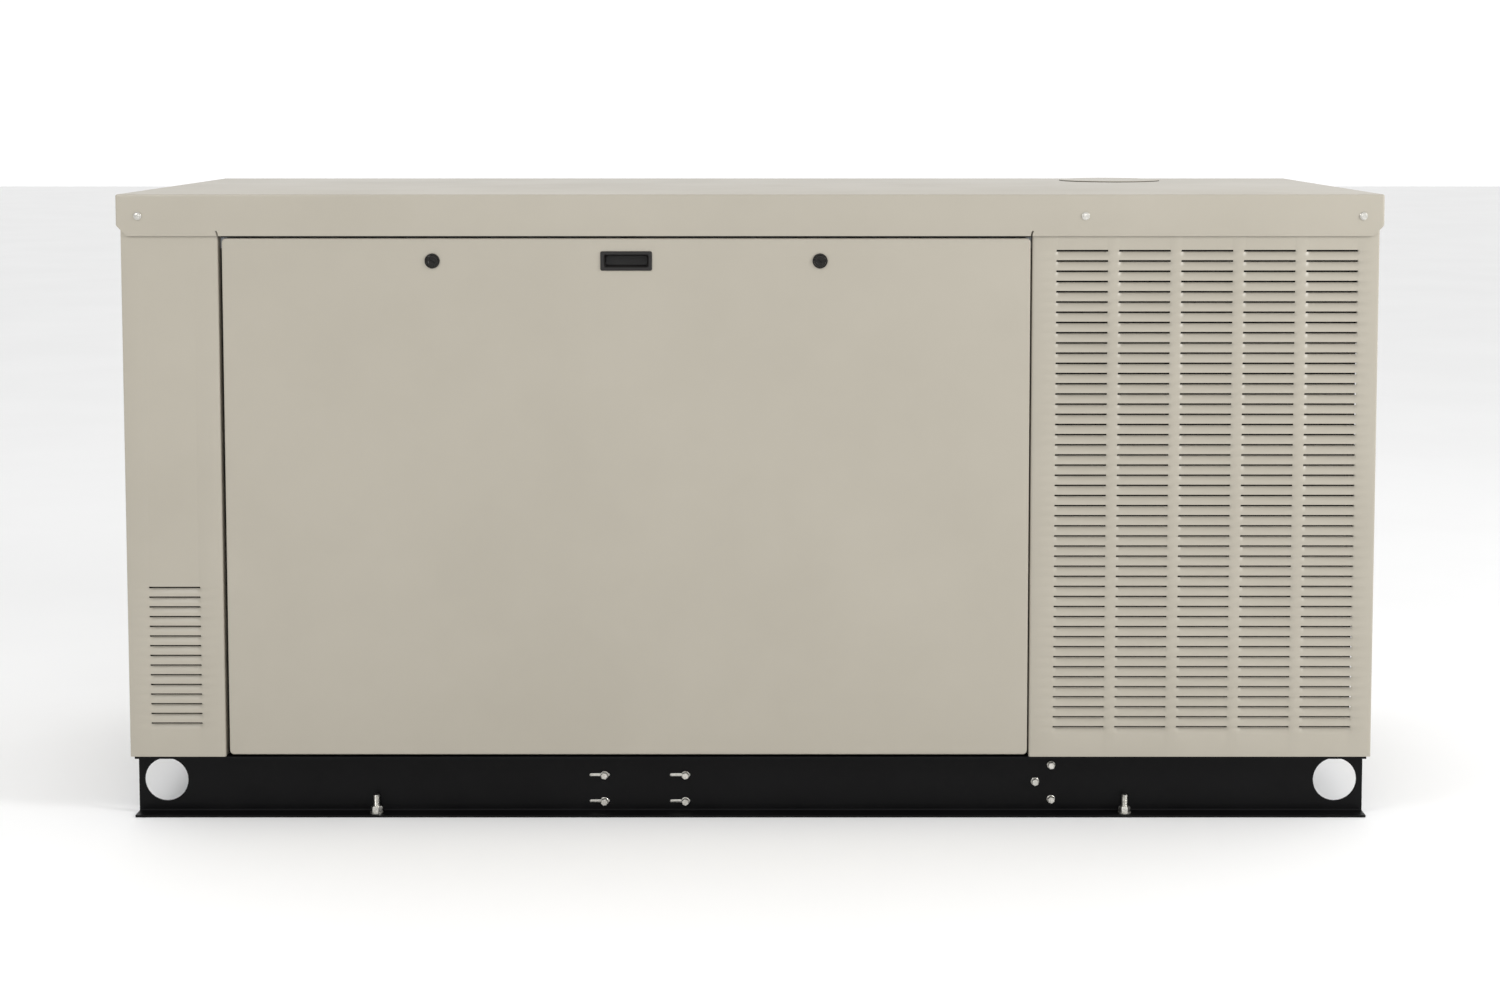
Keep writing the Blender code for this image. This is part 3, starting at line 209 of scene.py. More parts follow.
# EPDM rubber: sooty, with a dry bloom
blackRubber = makeMaterial("epdmRubber", {
    "colour": "#171717", "drift": "#222221", "driftSize": 30, "grainSize": 2, "grainDepth": 0.06,
    "roughness": 0.72, "glossDrift": 0.06, "ior": 1.52})
# acoustic foam: charcoal, open pores 3 mm across
acousticFoam = makeMaterial("acousticFoam", {
    "colour": "#1d1d1e", "drift": "#131314", "driftSize": 18, "grainSize": 3, "grainDepth": 0.9,
    "roughness": 0.95, "glossDrift": 0.03, "specular": 0.1, "pattern": "pores"})
# rotomoulded polyethylene: milky, waxy white
milkyTank = makeMaterial("naturalPolyethylene", {
    "colour": "#d9d5c4", "drift": "#cfcab6", "driftSize": 70, "grainSize": 3, "grainDepth": 0.08,
    "roughness": 0.42, "glossDrift": 0.05, "ior": 1.51})
# moulded ABS buttons and the breaker's handle: saturated and glossy
redAbs = makeMaterial("redAbs", {
    "colour": "#a5201b", "drift": "#9a1c18", "driftSize": 20, "grainSize": 1, "grainDepth": 0.02,
    "roughness": 0.33, "glossDrift": 0.03, "ior": 1.53})
greenAbs = makeMaterial("greenAbs", {
    "colour": "#1f7a3c", "drift": "#1b6f36", "driftSize": 20, "grainSize": 1, "grainDepth": 0.02,
    "roughness": 0.33, "glossDrift": 0.03, "ior": 1.53})
# cast lead: soft, dull and scratched
lead = makeMaterial("castLead", {
    "colour": "#7d7f82", "drift": "#6c6e72", "driftSize": 9, "grainSize": 1.5, "grainDepth": 0.06,
    "roughness": 0.55, "glossDrift": 0.06, "metallic": 0.9})
# tinted acrylic over a display that is switched off
tintedAcrylic = makeMaterial("tintedAcrylic", {
    "colour": "#0d1114", "drift": "#11161a", "driftSize": 60, "grainSize": 8, "grainDepth": 0.004,
    "roughness": 0.09, "glossDrift": 0.02, "ior": 1.49})
# amber polycarbonate lamp lens
amberLens = makeMaterial("amberPolycarbonate", {
    "colour": "#b97a1e", "drift": "#a96c17", "driftSize": 10, "grainSize": 1, "grainDepth": 0.02,
    "roughness": 0.2, "glossDrift": 0.03, "ior": 1.585})
# sealed concrete, pale and even
paleFloor = makeMaterial("paleFloor", {
    "colour": "#f8f8f8", "drift": "#f6f6f6", "driftSize": 900, "grainSize": 6, "grainDepth": 0.05,
    "roughness": 0.7, "glossDrift": 0.03})
print("materials made")


# form helpers: each returns a bmesh in the frame's own place
def onAxis(axis, across, up, along):
    return {"X": (along, across, up), "Y": (across, along, up), "Z": (across, up, along)}[axis]


def loft(rings, capped=True):
    # a skin over rings of equally many points
    form = bmesh.new()
    loops = [[form.verts.new(spot) for spot in ring] for ring in rings]
    for first, second in zip(loops, loops[1:]):
        for here in range(len(first)):
            after = (here + 1) % len(first)
            form.faces.new((first[here], first[after], second[after], second[here]))
    if capped:
        form.faces.new(loops[0][::-1])
        form.faces.new(loops[-1])
    else:
        for here in range(len(loops[0])):
            after = (here + 1) % len(loops[0])
            form.faces.new((loops[-1][here], loops[-1][after], loops[0][after], loops[0][here]))
    bmesh.ops.recalc_face_normals(form, faces=form.faces)
    return form


def roundedLoop(low, high, radius, steps=5):
    # a rectangle with round corners, from its low to its high corner
    radius = min(radius, (high[0] - low[0]) / 2, (high[1] - low[1]) / 2)
    middles = [(high[0] - radius, high[1] - radius, 0), (low[0] + radius, high[1] - radius, 90),
               (low[0] + radius, low[1] + radius, 180), (high[0] - radius, low[1] + radius, 270)]
    loop = []
    for across, up, start in middles:
        for step in range(steps + 1):
            turn = math.radians(start + 90 * step / steps)
            loop.append((across + radius * math.cos(turn), up + radius * math.sin(turn)))
    return loop


def plate(axis, low, high, corner, levels, steps=5):
    # a rounded rectangle carried along the axis; levels: (how far its edge is drawn in, place)
    rings = []
    for inset, along in levels:
        loop = roundedLoop((low[0] + inset, low[1] + inset), (high[0] - inset, high[1] - inset),
                           max(corner - inset, 0.0003), steps)
        rings.append([onAxis(axis, across, up, along) for across, up in loop])
    return loft(rings)


def edgeLevels(start, end, radius, steps=3, bothEnds=True):
    # levels for a plate whose edges are rounded where it ends, and where it starts too if asked
    way = 1 if end > start else -1
    levels = []
    if bothEnds:
        for step in range(steps + 1):
            turn = math.radians(90 * step / steps)
            levels.append((radius * (1 - math.sin(turn)),
                           start + way * radius * (1 - math.cos(turn))))
    else:
        levels.append((0, start))
    for step in range(steps + 1):
        turn = math.radians(90 * step / steps)
        levels.append((radius * (1 - math.cos(turn)), end - way * radius * (1 - math.sin(turn))))
    return levels


def softBox(low, high, edge, steps=3):
    levels = edgeLevels(low[2], high[2], edge, steps)
    return plate("Z", low[:2], high[:2], edge * 1.2, levels, steps)


def sideBox(side, across, deep, up, edge, steps=3):
    # a soft box from its ranges in X, Y and Z, with Y given for the rear and mirrored for the front
    near, far = sorted(side * place for place in deep)
    return softBox((across[0], near, up[0]), (across[1], far, up[1]), edge, steps)


def fromEnds(low, high, rim, points):
    # (radius, place) points along a body: a negative radius is measured in from the rim, a
    # negative place back from the high end, and None is the high end itself
    profile = []
    for radius, place in points:
        along = high if place is None else high + place if place < 0 else low + place
        profile.append((rim + radius if radius < 0 else radius, along))
    return profile


def circle(count):
    # the cosine and sine of evenly spaced turns, none of them straight along an axis
    turns = [math.tau * (step + 0.5) / count for step in range(count)]
    return [(math.cos(turn), math.sin(turn)) for turn in turns]


def turned(profile, at, axis="Z", sides=48, hollow=False):
    # (radius, height) pairs turned about an axis: a zero radius closes an end, and a hollow form
    # runs back from its last pair to its first
    rings = []
    for radius, height in profile:
        radius = max(radius, 0.00005)
        ring = []
        for step in range(sides):
            turn = math.tau * step / sides
            spot = onAxis(axis, radius * math.cos(turn), radius * math.sin(turn), height)
            ring.append([a + b for a, b in zip(spot, at)])
        rings.append(ring)
    return loft(rings, capped=not hollow)


def extruded(outline, axis, low, high):
    return loft([[onAxis(axis, across, up, along) for across, up in outline] for along in (low,
                                                                                           high)])


def tube(route, radius, sides=16, ease=2):
    # a round tube along a route whose corners are eased
    points = [Vector(spot) for spot in route]
    for _ in range(ease):
        eased = [points[0]]
        for start, end in zip(points, points[1:]):
            eased += [start.lerp(end, 0.25), start.lerp(end, 0.75)]
        points = eased + [points[-1]]
    rings = []
    side = None
    for here, spot in enumerate(points):
        ahead = points[min(here + 1, len(points) - 1)] - points[max(here - 1, 0)]
        ahead.normalize()
        if side is None:
            side = ahead.orthogonal().normalized()
        side = (side - ahead * side.dot(ahead)).normalized()
        other = ahead.cross(side)
        turns = [math.tau * step / sides for step in range(sides)]
        rings.append([spot + (side * math.cos(turn) + other * math.sin(turn)) * radius
                      for turn in turns])
    return loft(rings)


def merged(forms):
    whole = bmesh.new()
    for form in forms:
        mesh = bpy.data.meshes.new("piece")
        form.to_mesh(mesh)
        form.free()
        whole.from_mesh(mesh)
        bpy.data.meshes.remove(mesh)
    return whole


def shaped(name, form, material=None):
    # the form as an object in the scene
    mesh = bpy.data.meshes.new(name)
    form.to_mesh(mesh)
    form.free()
    if material:
        mesh.materials.append(material)
    shape = bpy.data.objects.new(name, mesh)
    bpy.context.scene.collection.objects.link(shape)
    return shape


def modified(form, changes, others=()):
    # the form as it comes out of its modifiers, worked out once; others are tools to throw away
    shape = shaped("waiting", form)
    for kind, settings in changes:
        change = shape.modifiers.new(kind, kind)
        for name, value in settings.items():
            setattr(change, name, value)
    ready = shape.evaluated_get(bpy.context.evaluated_depsgraph_get())
    result = bmesh.new()
    result.from_mesh(ready.to_mesh())
    for used in (shape, *others):
        mesh = used.data
        bpy.data.objects.remove(used)
        bpy.data.meshes.remove(mesh)
    return result


def carved(form, cutters):
    tools = [shaped("waiting", cutter) for cutter in cutters]
    cuts = [("BOOLEAN", {"operation": "DIFFERENCE", "solver": "EXACT", "object": tool})
            for tool in tools]
    return modified(form, cuts, tools)


def placed(form, at, facing=(0, 0, 1), turn=0.0):
    # a form made upright at the origin, set down at a place with its top facing a way
    toward = Vector(facing).to_track_quat("Z", "Y").to_matrix().to_4x4()
    form.transform(Matrix.Translation(at) @ toward @ Matrix.Rotation(turn, 4, "Z"))
    return form


def addPiece(name, form, material, body="root", replaced=(), smooth=35):
    # the form, or a list of forms, as one piece; smooth is the angle that stays a sharp edge
    piece = shaped(name, merged(form) if isinstance(form, list) else form, material)
    piece.data.shade_smooth()
    piece.data.set_sharp_from_angle(angle=math.radians(smooth))
    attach(piece, body)
    if replaced:
        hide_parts(*replaced)
    return piece


floorLook = {"size": 60.0, "below": 0.0005}
floorForm = bmesh.new()
bmesh.ops.create_grid(floorForm, x_segments=1, y_segments=1, size=floorLook["size"] / 2)
floor = shaped("floor", floorForm, paleFloor)
floor.location.z = -floorLook["below"]

past = 0.01    # how far a cutter runs past what it cuts

# the roof, one bent sheet
roofLook = {
    "sheet": 0.002, "bend": 0.0035, "chamfer": 0.020, "holeRadius": 0.090,
    "slit": 0.0032, "slitLeft": 0.0063, "slitRight": 0.0012,
    # how far a slit leans outwards at each height over the lip's lower edge
    "slitLean": [(0.0, -0.003), (0.0001, 0.002), (0.0007, 0.005), (0.0016, 0.0075),
                 (0.0024, 0.0093)],
}


def roofSheet():
    low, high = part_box("roof_panel")
    sheet, bend = roofLook["sheet"], roofLook["bend"]
    outer = plate("Z", low[:2], high[:2], bend * 1.3, edgeLevels(low.z, high.z, bend, 4, False))
    inner = plate("Z", (low.x + sheet, low.y + sheet), (high.x - sheet, high.y - sheet), bend,
                  edgeLevels(low.z - past, high.z - sheet, bend - sheet, 3, False))
    coverLow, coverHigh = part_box("fill_cover")
    middle = (coverLow + coverHigh) / 2
    hole = roofLook["holeRadius"]
    cutters = [inner, turned([(hole, -2 * past), (hole, 2 * past)], (middle.x, middle.y, high.z),
                             sides=72)]
    reach = roofLook["chamfer"]
    for end in (-1, 1):
        out = end * (high.x + past)
        corner = [(out, low.z - past), (end * (high.x - reach - past), low.z - past),
                  (out, low.z + reach + past)]
        cutters.append(extruded(corner, "Y", low.y - past, high.y + past))
    # relief slits where the lip meets the door's top corners
    doorLow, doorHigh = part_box("front_door")
    half, lean = roofLook["slit"] / 2, roofLook["slitLean"]
    corners = [(-1, doorLow.x - roofLook["slitLeft"]), (1, doorHigh.x + roofLook["slitRight"])]
    for side in (-1, 1):
        for end, corner in corners:
            outline = [(corner + end * out - half, low.z + up) for out, up in lean]
            outline += [(corner + end * out + half, low.z + up) for out, up in reversed(lean)]
            cutters.append(extruded(outline, "Y", side * high.y - past, side * high.y + past))
    return carved(outer, cutters)


addPiece("roof_sheet", roofSheet(), powderCoat, replaced=["roof_panel"], smooth=25)

coverLook = {"rimRadius": 0.103, "spigotRadius": 0.088, "spigot": 0.010, "wall": 0.002,
             "gasket": 0.0009, "tall": 0.0029}


def fillCover():
    low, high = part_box("fill_cover")
    middle = (low + high) / 2
    at = (middle.x, middle.y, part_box("roof_panel")[1].z)
    rim, spigot, gasket = coverLook["rimRadius"], coverLook["spigotRadius"], coverLook["gasket"]
    top, foot, inner = coverLook["tall"], -coverLook["spigot"], spigot - coverLook["wall"]
    profile = [(0, top), (rim * 0.55, top - 0.0001), (rim - 0.006, top - 0.0003),
               (rim - 0.0025, top - 0.0005), (rim - 0.0006, top - 0.0009), (rim, top - 0.0014),
               (rim - 0.0002, gasket + 0.0001), (spigot, gasket), (spigot, foot), (inner, foot),
               (inner, gasket), (0, gasket)]
    addPiece("fill_cover_lid", turned(profile, at, sides=96), powderCoat, "fill_cover",
             ["fill_cover"])
    ring = [(rim + 0.0004, 0.0002), (rim + 0.0004, gasket), (spigot + 0.001, gasket),
            (spigot + 0.001, 0.0002)]
    addPiece("fill_cover_gasket", turned(ring, at, sides=96, hollow=True), blackRubber,
             "fill_cover")


fillCover()
print("roof made")

# louvred end wraps: each is one sheet folded round three sides
wrapLook = {"sheet": 0.0016, "bend": 0.004, "bendSteps": 4, "return": 0.025}
# each louvre is cut along its top and pushed in: drops below the cut with depths into the
# enclosure, then distances in from its end with shares of the full depth
louvreLook = {
    "width": 0.093, "columnPitch": 0.1125, "endColumns": 5,
    "rows": [(0.0, 0.0), (0.0034, 0.0062), (0.0066, 0.0046), (0.0102, 0.0022), (0.0145, 0.0)],
    "ends": [(-0.0035, 0.0), (0.0, 0.42), (0.0035, 0.80), (0.0075, 1.0)],
}


def louvreColumns(starts):
    # (place along the wall, share of full depth, whether the cut runs on from here)
    width = louvreLook["width"]
    columns = []
    for start in starts:
        for offset, share in louvreLook["ends"]:
            columns.append((start + offset, share, offset >= 0))
        for offset, share in reversed(louvreLook["ends"]):
            columns.append((start + width - offset, share, offset > 0))
    return columns


def wrapStations(low, high, span, longBank, endBank):
    # places round the sheet in plan, with X measured from the door edge outwards
    bend, steps = wrapLook["bend"], wrapLook["bendSteps"]
    edge = high.y - wrapLook["return"]
    corners = [(0, -edge), (0, low.y), (span, low.y), (span, high.y), (0, high.y), (0, edge)]
    farBank = [span - start - louvreLook["width"] for start in reversed(longBank)]
    banks = [[], longBank, endBank, farBank, []]
    stations = []
    for run, (start, stop) in enumerate(zip(corners, corners[1:])):
        begin, finish = Vector(start), Vector(stop)
        way = (finish - begin).normalized()
        inward = Vector((-way.y, way.x))
        length = (finish - begin).length
        first = bend if run > 0 else 0
        last = length - bend if run < 4 else length
        for along, share, cut in [(first, 0, False), *louvreColumns(banks[run]), (last, 0, False)]:
            stations.append((begin + way * along, inward, share, cut))
        if run < 4:
            onward = (Vector(corners[run + 2]) - finish).normalized()
            middle = finish - way * bend + onward * bend
            for step in range(1, steps):
                turn = math.radians(90 * step / steps)
                out = way * math.sin(turn) - onward * math.cos(turn)
                stations.append((middle + out * bend, -out, 0, False))
    return stations


def wrapSheet(node, end, longBank, endBank, topCut, rows, pitch):
    # longBank and endBank: where the louvres start along the front and end walls
    low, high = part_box(node)
    near, far = (high.x, low.x) if end < 0 else (low.x, high.x)
    stations = wrapStations(low, high, abs(far - near), longBank, endBank)
    heights = [(high.z, 0, False)]
    for row in range(rows):
        for drop, depth in louvreLook["rows"]:
            heights.append((topCut - row * pitch - drop, depth, drop == 0))
    heights.append((low.z, 0, False))
    form = bmesh.new()
    grid = []
    for place, inward, share, cut in stations:
        spots = [(place + inward * depth * share, height) for height, depth, top in heights]
        grid.append([form.verts.new((near + end * spot.x, spot.y, height))
                     for spot, height in spots])
    for here in range(len(stations) - 1):
        for level in range(len(heights) - 1):
            if heights[level][2] and stations[here][3]:
                continue
            face = (grid[here][level], grid[here + 1][level],
                    grid[here + 1][level + 1], grid[here][level + 1])
            form.faces.new(face if end < 0 else face[::-1])
    return modified(form, [("SOLIDIFY", {"thickness": wrapLook["sheet"], "offset": -1})])


frontLow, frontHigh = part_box("radiator_end_wrap")
depth = frontHigh.y - frontLow.y
pitchAcross, louvreWide = louvreLook["columnPitch"], louvreLook["width"]
firstMiddle = 0.598    # middle of the first column at the radiator end
rightStart = firstMiddle - louvreWide / 2 - frontLow.x
endStart = depth / 2 - 2.5 * pitchAcross + (pitchAcross - louvreWide) / 2
endBank = [endStart + pitchAcross * step for step in range(louvreLook["endColumns"])]
wraps = {
    "radiator_wrap_sheet": {
        "node": "radiator_end_wrap", "end": 1, "topCut": 1.0400, "rows": 48, "pitch": 0.01853,
        "longBank": [rightStart + pitchAcross * step for step in range(5)]},
    "alternator_wrap_sheet": {
        "node": "alternator_end_wrap", "end": -1, "topCut": 0.4265, "rows": 15, "pitch": 0.0179,
        "longBank": [0.042]},
}
for name, wrap in wraps.items():
    piece = addPiece(name, wrapSheet(endBank=endBank, **wrap), powderCoat,
                     replaced=[wrap["node"]], smooth=32)
    print(name, len(piece.data.polygons), "faces")
print("wraps made")

# foam baffles stand off the louvred walls, so that no daylight shows straight through
baffleLook = {"away": 0.032, "thick": 0.012, "edge": 0.003, "bottom": 0.130, "top": 1.0560,
              "lowTop": 0.470, "gap": 0.004, "corner": 0.002, "underTank": 0.006}


def louvreBaffles():
    away, thick, edge = baffleLook["away"], baffleLook["thick"], baffleLook["edge"]
    bottom, top, gap = baffleLook["bottom"], baffleLook["top"], baffleLook["gap"]
    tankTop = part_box("coolant_tank")[0].z - baffleLook["underTank"]
    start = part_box("radiator_bulkhead")[1].x + gap
    wall = max(abs(frontLow.y), abs(frontHigh.y))
    end = frontHigh.x - away - thick
    forms = [sideBox(side, (start, end - baffleLook["corner"]),
                     (wall - away, wall - (away + thick)),
                     (bottom, top if side < 0 else tankTop), edge) for side in (-1, 1)]
    forms.append(softBox((end, -frontHigh.y + away, bottom),
                         (frontHigh.x - away, frontHigh.y - away, top), edge))
    addPiece("radiator_end_baffles", forms, acousticFoam)
    low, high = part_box("alternator_end_wrap")
    wall, half, top = max(abs(low.y), abs(high.y)), away * 0.5, baffleLook["lowTop"]
    forms = [sideBox(side, (low.x + away + baffleLook["corner"], high.x - gap),
                     (wall - half, wall - (half + thick)), (bottom, top), edge)
             for side in (-1, 1)]
    forms.append(softBox((low.x + half, low.y + away, bottom),
                         (low.x + half + thick, high.y - away, top), edge))
    addPiece("alternator_end_baffles", forms, acousticFoam)


louvreBaffles()

# doors: a folded pan, a recessed pull, two key locks and a foam lining
doorLook = {"sheet": 0.002, "bend": 0.003, "corner": 0.008, "return": 0.025,
            "lockHole": 0.0095, "foam": 0.014, "foamIn": 0.012, "foamDrop": 0.085}
pullLook = {"bezel": 0.006, "proud": 0.0025, "depth": 0.020, "wall": 0.002, "lean": 0.12}
lockLook = {"bezelRadius": 0.0136, "headRadius": 0.0104, "barrelRadius": 0.0088,
            "barrel": 0.0285, "stem": 0.0045, "slot": (0.011, 0.0022), "slotTurn": -35,
            "camHalf": 0.008, "camThick": 0.003, "axisIn": 0.0105}


def pullCup(low, high, outside, side):
    # a round-edged bezel, then a pocket whose floor leans back towards the top
    bezel, lean = pullLook["bezel"], pullLook["lean"]
    face = outside + side * pullLook["proud"]
    floor = outside - side * (pullLook["depth"] - pullLook["wall"])
    back = outside - side * pullLook["depth"]
    # (drawn in by, place, corner radius, lean)
    levels = [(bezel + 0.0001, back, 0.005, 0), (bezel + 0.0001, outside + side * 0.0004, 0.005, 0),
              (0.0004, outside + side * 0.0004, 0.0030, 0), (0.0, outside + side * 0.0009, 0.0032,
                                                             0),
              (0.0004, face - side * 0.0005, 0.0030, 0), (0.0012, face, 0.0026, 0),
              (bezel - 0.0014, face, 0.0024, 0), (bezel - 0.0006, face - side * 0.0003, 0.0026, 0),
              (bezel + 0.0001, face - side * 0.0011, 0.0030, 0),
              (bezel + 0.0018, outside - side * 0.004, 0.0034, 0),
              (bezel + 0.0022, floor + side * 0.004, 0.0040, lean),
              (bezel + 0.0036, floor + side * 0.0012, 0.0036, lean),
              (bezel + 0.0062, floor + side * 0.0008, 0.0030, lean)]
    middle = (low.z + high.z) / 2
    rings = []
    for inset, along, radius, lift in levels:
        loop = roundedLoop((low.x + inset, low.z + inset), (high.x - inset, high.z - inset), radius)
        rings.append([(across, along - side * lift * (up - middle), up) for across, up in loop])
    return loft(rings)


def doorLock(lockBody, at, outside, side, body):
    # a bezel fixed to the door, then the turning head with its key slot, barrel, nut and cam
    radius, head = lockLook["bezelRadius"], lockLook["headRadius"]
    profile = [(radius - 0.0012, 0.0030), (radius - 0.0003, 0.0026), (radius, 0.0018),
               (radius, 0.0002), (0.0112, 0.0002), (0.0108, 0.0008), (0.0108, 0.0026),
               (0.0112, 0.0030)]
    bezel = turned([(r, side * h) for r, h in profile], at, "Y", 56, hollow=True)
    addPiece(lockBody + "_bezel", bezel, blackLock, body)
    barrel, end, stem = lockLook["barrelRadius"], -lockLook["barrel"], lockLook["stem"]
    camLow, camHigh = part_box(lockBody)
    camY = camHigh.y if side < 0 else camLow.y
    foot = -abs(camY - outside) + 0.0001
    profile = [(0, 0.0024), (0.0066, 0.0024), (0.0074, 0.0031), (head - 0.0012, 0.0031),
               (head - 0.0003, 0.0026), (head, 0.0018), (head, 0.0003), (barrel, 0.0003),
               (barrel, end), (stem, end), (stem, foot), (0, foot)]
    long, wide = lockLook["slot"]
    slot = softBox((-long / 2, -wide / 2, -0.004), (long / 2, wide / 2, 0.004), 0.0003)
    slot = placed(slot, (at.x, outside + side * 0.0034, at.z), (0, side, 0),
                  math.radians(lockLook["slotTurn"]))
    half, thick = lockLook["camHalf"], lockLook["camThick"]
    cam = softBox((at.x - half, camLow.y if side > 0 else camY - thick, at.z - half),
                  (camHigh.x, camY if side < 0 else camY + thick, at.z + half), 0.0006)
    headForm = carved(turned([(r, side * h) for r, h in profile], at, "Y", 48), [slot])
    addPiece(lockBody + "_head", [headForm, cam], blackLock, lockBody, [lockBody], 30)
    nut = turned([(0.0135, side * -0.0024), (0.0135, side * -0.0074), (0.0091, side * -0.0074),
                  (0.0091, side * -0.0024)], at, "Y", 6)
    nut = carved(nut, [turned([(0.0091, -0.02), (0.0091, 0.02)], at, "Y", 32)])
    addPiece(lockBody + "_nut", nut, zincPlate, body)


def doorPieces(place, side):
    body = place + "_door"
    low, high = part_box(body)
    pullLow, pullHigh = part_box(place + "_pull")
    outside = side * max(abs(low.y), abs(high.y))
    sheet, bend, corner = doorLook["sheet"], doorLook["bend"], doorLook["corner"]
    inside = outside - side * doorLook["return"]
    locks = {}
    for hand in ("left", "right"):
        lockLow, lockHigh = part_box(f"{place}_lock_{hand}")
        locks[hand] = Vector((lockLow.x + lockLook["axisIn"], outside,
                              (lockLow.z + lockHigh.z) / 2))
    pan = plate("Y", (low.x, low.z), (high.x, high.z), corner,
                edgeLevels(inside, outside, bend, 4, False), 6)
    hollow = plate("Y", (low.x + sheet, low.z + sheet), (high.x - sheet, high.z - sheet),
                   corner - sheet, edgeLevels(inside - side * past, outside - side * sheet,
                                              bend - sheet, 3, False), 6)
    bezel = pullLook["bezel"]
    well = ((pullLow.x + bezel - 0.0003, pullLow.z + bezel - 0.0003),
            (pullHigh.x - bezel + 0.0003, pullHigh.z - bezel + 0.0003))
    reach, hole = 0.012, doorLook["lockHole"]
    holes = [hollow, plate("Y", *well, 0.005, [(0, outside - reach), (0, outside + reach)])]
    for at in locks.values():
        holes.append(turned([(hole, -reach), (hole, reach)], at, "Y", 40))
    addPiece(body + "_panel", carved(pan, holes), powderCoat, body, [body], 25)
    addPiece(place + "_pull_cup", pullCup(pullLow, pullHigh, outside, side), blackNylon, body,
             [place + "_pull"], 40)
    for hand, at in locks.items():
        doorLock(f"{place}_lock_{hand}", at, outside, side, body)
    near, far = outside - side * (sheet + 0.0004), outside - side * (sheet + doorLook["foam"])
    margin = doorLook["foamIn"]
    lining = plate("Y", (low.x + margin, low.z + margin),
                   (high.x - margin, high.z - doorLook["foamDrop"]), 0.004,
                   edgeLevels(near, far, 0.003, 2, False))
    addPiece(body + "_lining", lining, acousticFoam, body, smooth=40)


for place, side in (("front", -1), ("rear", 1)):
    doorPieces(place, side)
print("doors made")

# black foam seal strips along the header above the door's top edge, up each side behind its fold,
# and at its foot; they stand behind the door gaps as painted shade, so that the gaps read dark
gapShadeSealLook = {"edge": 0.002, "fold": 0.0180, "deep": (-0.0002, -0.009), "above": (0.0002, 0.0012),
            "top": 1.0410, "headTop": 1.1370}


def gapShadeSealStrips(place, side):
    doorLow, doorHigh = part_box(place + "_door")
    headerLow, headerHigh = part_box(place + "_header")
    face = max(abs(headerLow.y), abs(headerHigh.y))
    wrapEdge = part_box("alternator_end_wrap")[1].x
    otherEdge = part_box("radiator_end_wrap")[0].x
    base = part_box("floor_pan")[1].z
    edge, fold, top = gapShadeSealLook["edge"], gapShadeSealLook["fold"], gapShadeSealLook["top"]
    deep = [face + offset for offset in gapShadeSealLook["deep"]]
    strips = [sideBox(side, (doorLow.x - 0.0065, doorHigh.x + 0.0025),
                      [face + offset for offset in gapShadeSealLook["above"]],
                      (doorHigh.z + 0.0002, gapShadeSealLook["headTop"]), 0.0004)]
    for across in ((wrapEdge - 0.0160, wrapEdge + fold), (otherEdge - fold, otherEdge + 0.0016)):
        strips.append(sideBox(side, across, deep, (base + 0.001, top), edge))
    strips.append(sideBox(side, (wrapEdge + fold, otherEdge - fold), deep,
                          (base + 0.0004, base + 0.016), edge))
    # charcoal foam behind the gaps: painted shade that keeps them dark
    addPiece(place + "_gap_seal_shade", strips, acousticFoam)


for place, side in (("front", -1), ("rear", 1)):
    gapShadeSealStrips(place, side)

upward, downward = (0, 0, 1), (0, 0, -1)


def hexBolt(across, tall, washer=0.0, washerTall=0.0016):
    # a chamfered hexagon head on its washer, standing on the origin
    radius = across / math.sqrt(3)
    foot = washerTall if washer else 0.0
    head = turned([(radius, foot), (radius, foot + tall * 0.8), (radius * 0.88, foot + tall),
                   (0, foot + tall)], (0, 0, 0), sides=6)
    if not washer:
        return head
    disc = turned([(washer - 0.0003, 0), (washer, 0.0004), (washer, foot - 0.0004),
                   (washer - 0.0005, foot), (0, foot)], (0, 0, 0), sides=40)
    return merged([head, disc])


def boltSet(name, spots, across, tall, washer):
    # spots: (place, the way its head faces, turn in degrees)
    forms = [placed(hexBolt(across, tall, washer), at, facing, math.radians(turn))
             for at, facing, turn in spots]
    addPiece(name, forms, zincPlate, smooth=30)


boltLook = {
    "lipAcross": 0.0095, "lipTall": 0.0014, "lipWasher": 0.0072, "lipHeight": 1.101,
    "longLips": (-1.100, 0.603, 1.102), "endLips": (-0.27, 0.27),
    "baseAcross": 0.012, "baseTall": 0.007, "slotWasher": 0.0075, "railFace": 0.385,
    "slots": (-0.2690, -0.1200), "slotRows": (0.021, 0.070),
    # (X, height, turn) of the three bolts under the radiator
    "radiator": ((0.5525, 0.089, 8), (0.5230, 0.058, 25), (0.5525, 0.025, 40)),
}
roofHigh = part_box("roof_panel")[1]
lipUp, web = boltLook["lipHeight"], boltLook["railFace"]
spots = [((across, side * (roofHigh.y + 0.0001), lipUp), (0, side, 0), 10 + 25 * count)
         for side in (-1, 1) for count, across in enumerate(boltLook["longLips"])]
spots += [((end * (roofHigh.x + 0.0001), across, lipUp), (end, 0, 0), 5 + 20 * count)
          for end in (-1, 1) for count, across in enumerate(boltLook["endLips"])]
boltSet("lip_screws", spots, boltLook["lipAcross"], boltLook["lipTall"], boltLook["lipWasher"])
baseBolt = (boltLook["baseAcross"], boltLook["baseTall"], boltLook["slotWasher"])
# through the slots of both rails, each with its own turn
boltSet("slot_bolts", [((across, side * web, height), (0, side, 0),
                        12 + 40 * (height > 0.05) + 25 * (across > -0.2))
                       for side in (-1, 1) for across in boltLook["slots"]
                       for height in boltLook["slotRows"]], *baseBolt)
boltSet("radiator_bolts", [((across, side * web, height), (0, side, 0), turn)
                           for side in (-1, 1) for across, height, turn in boltLook["radiator"]],
        *baseBolt)

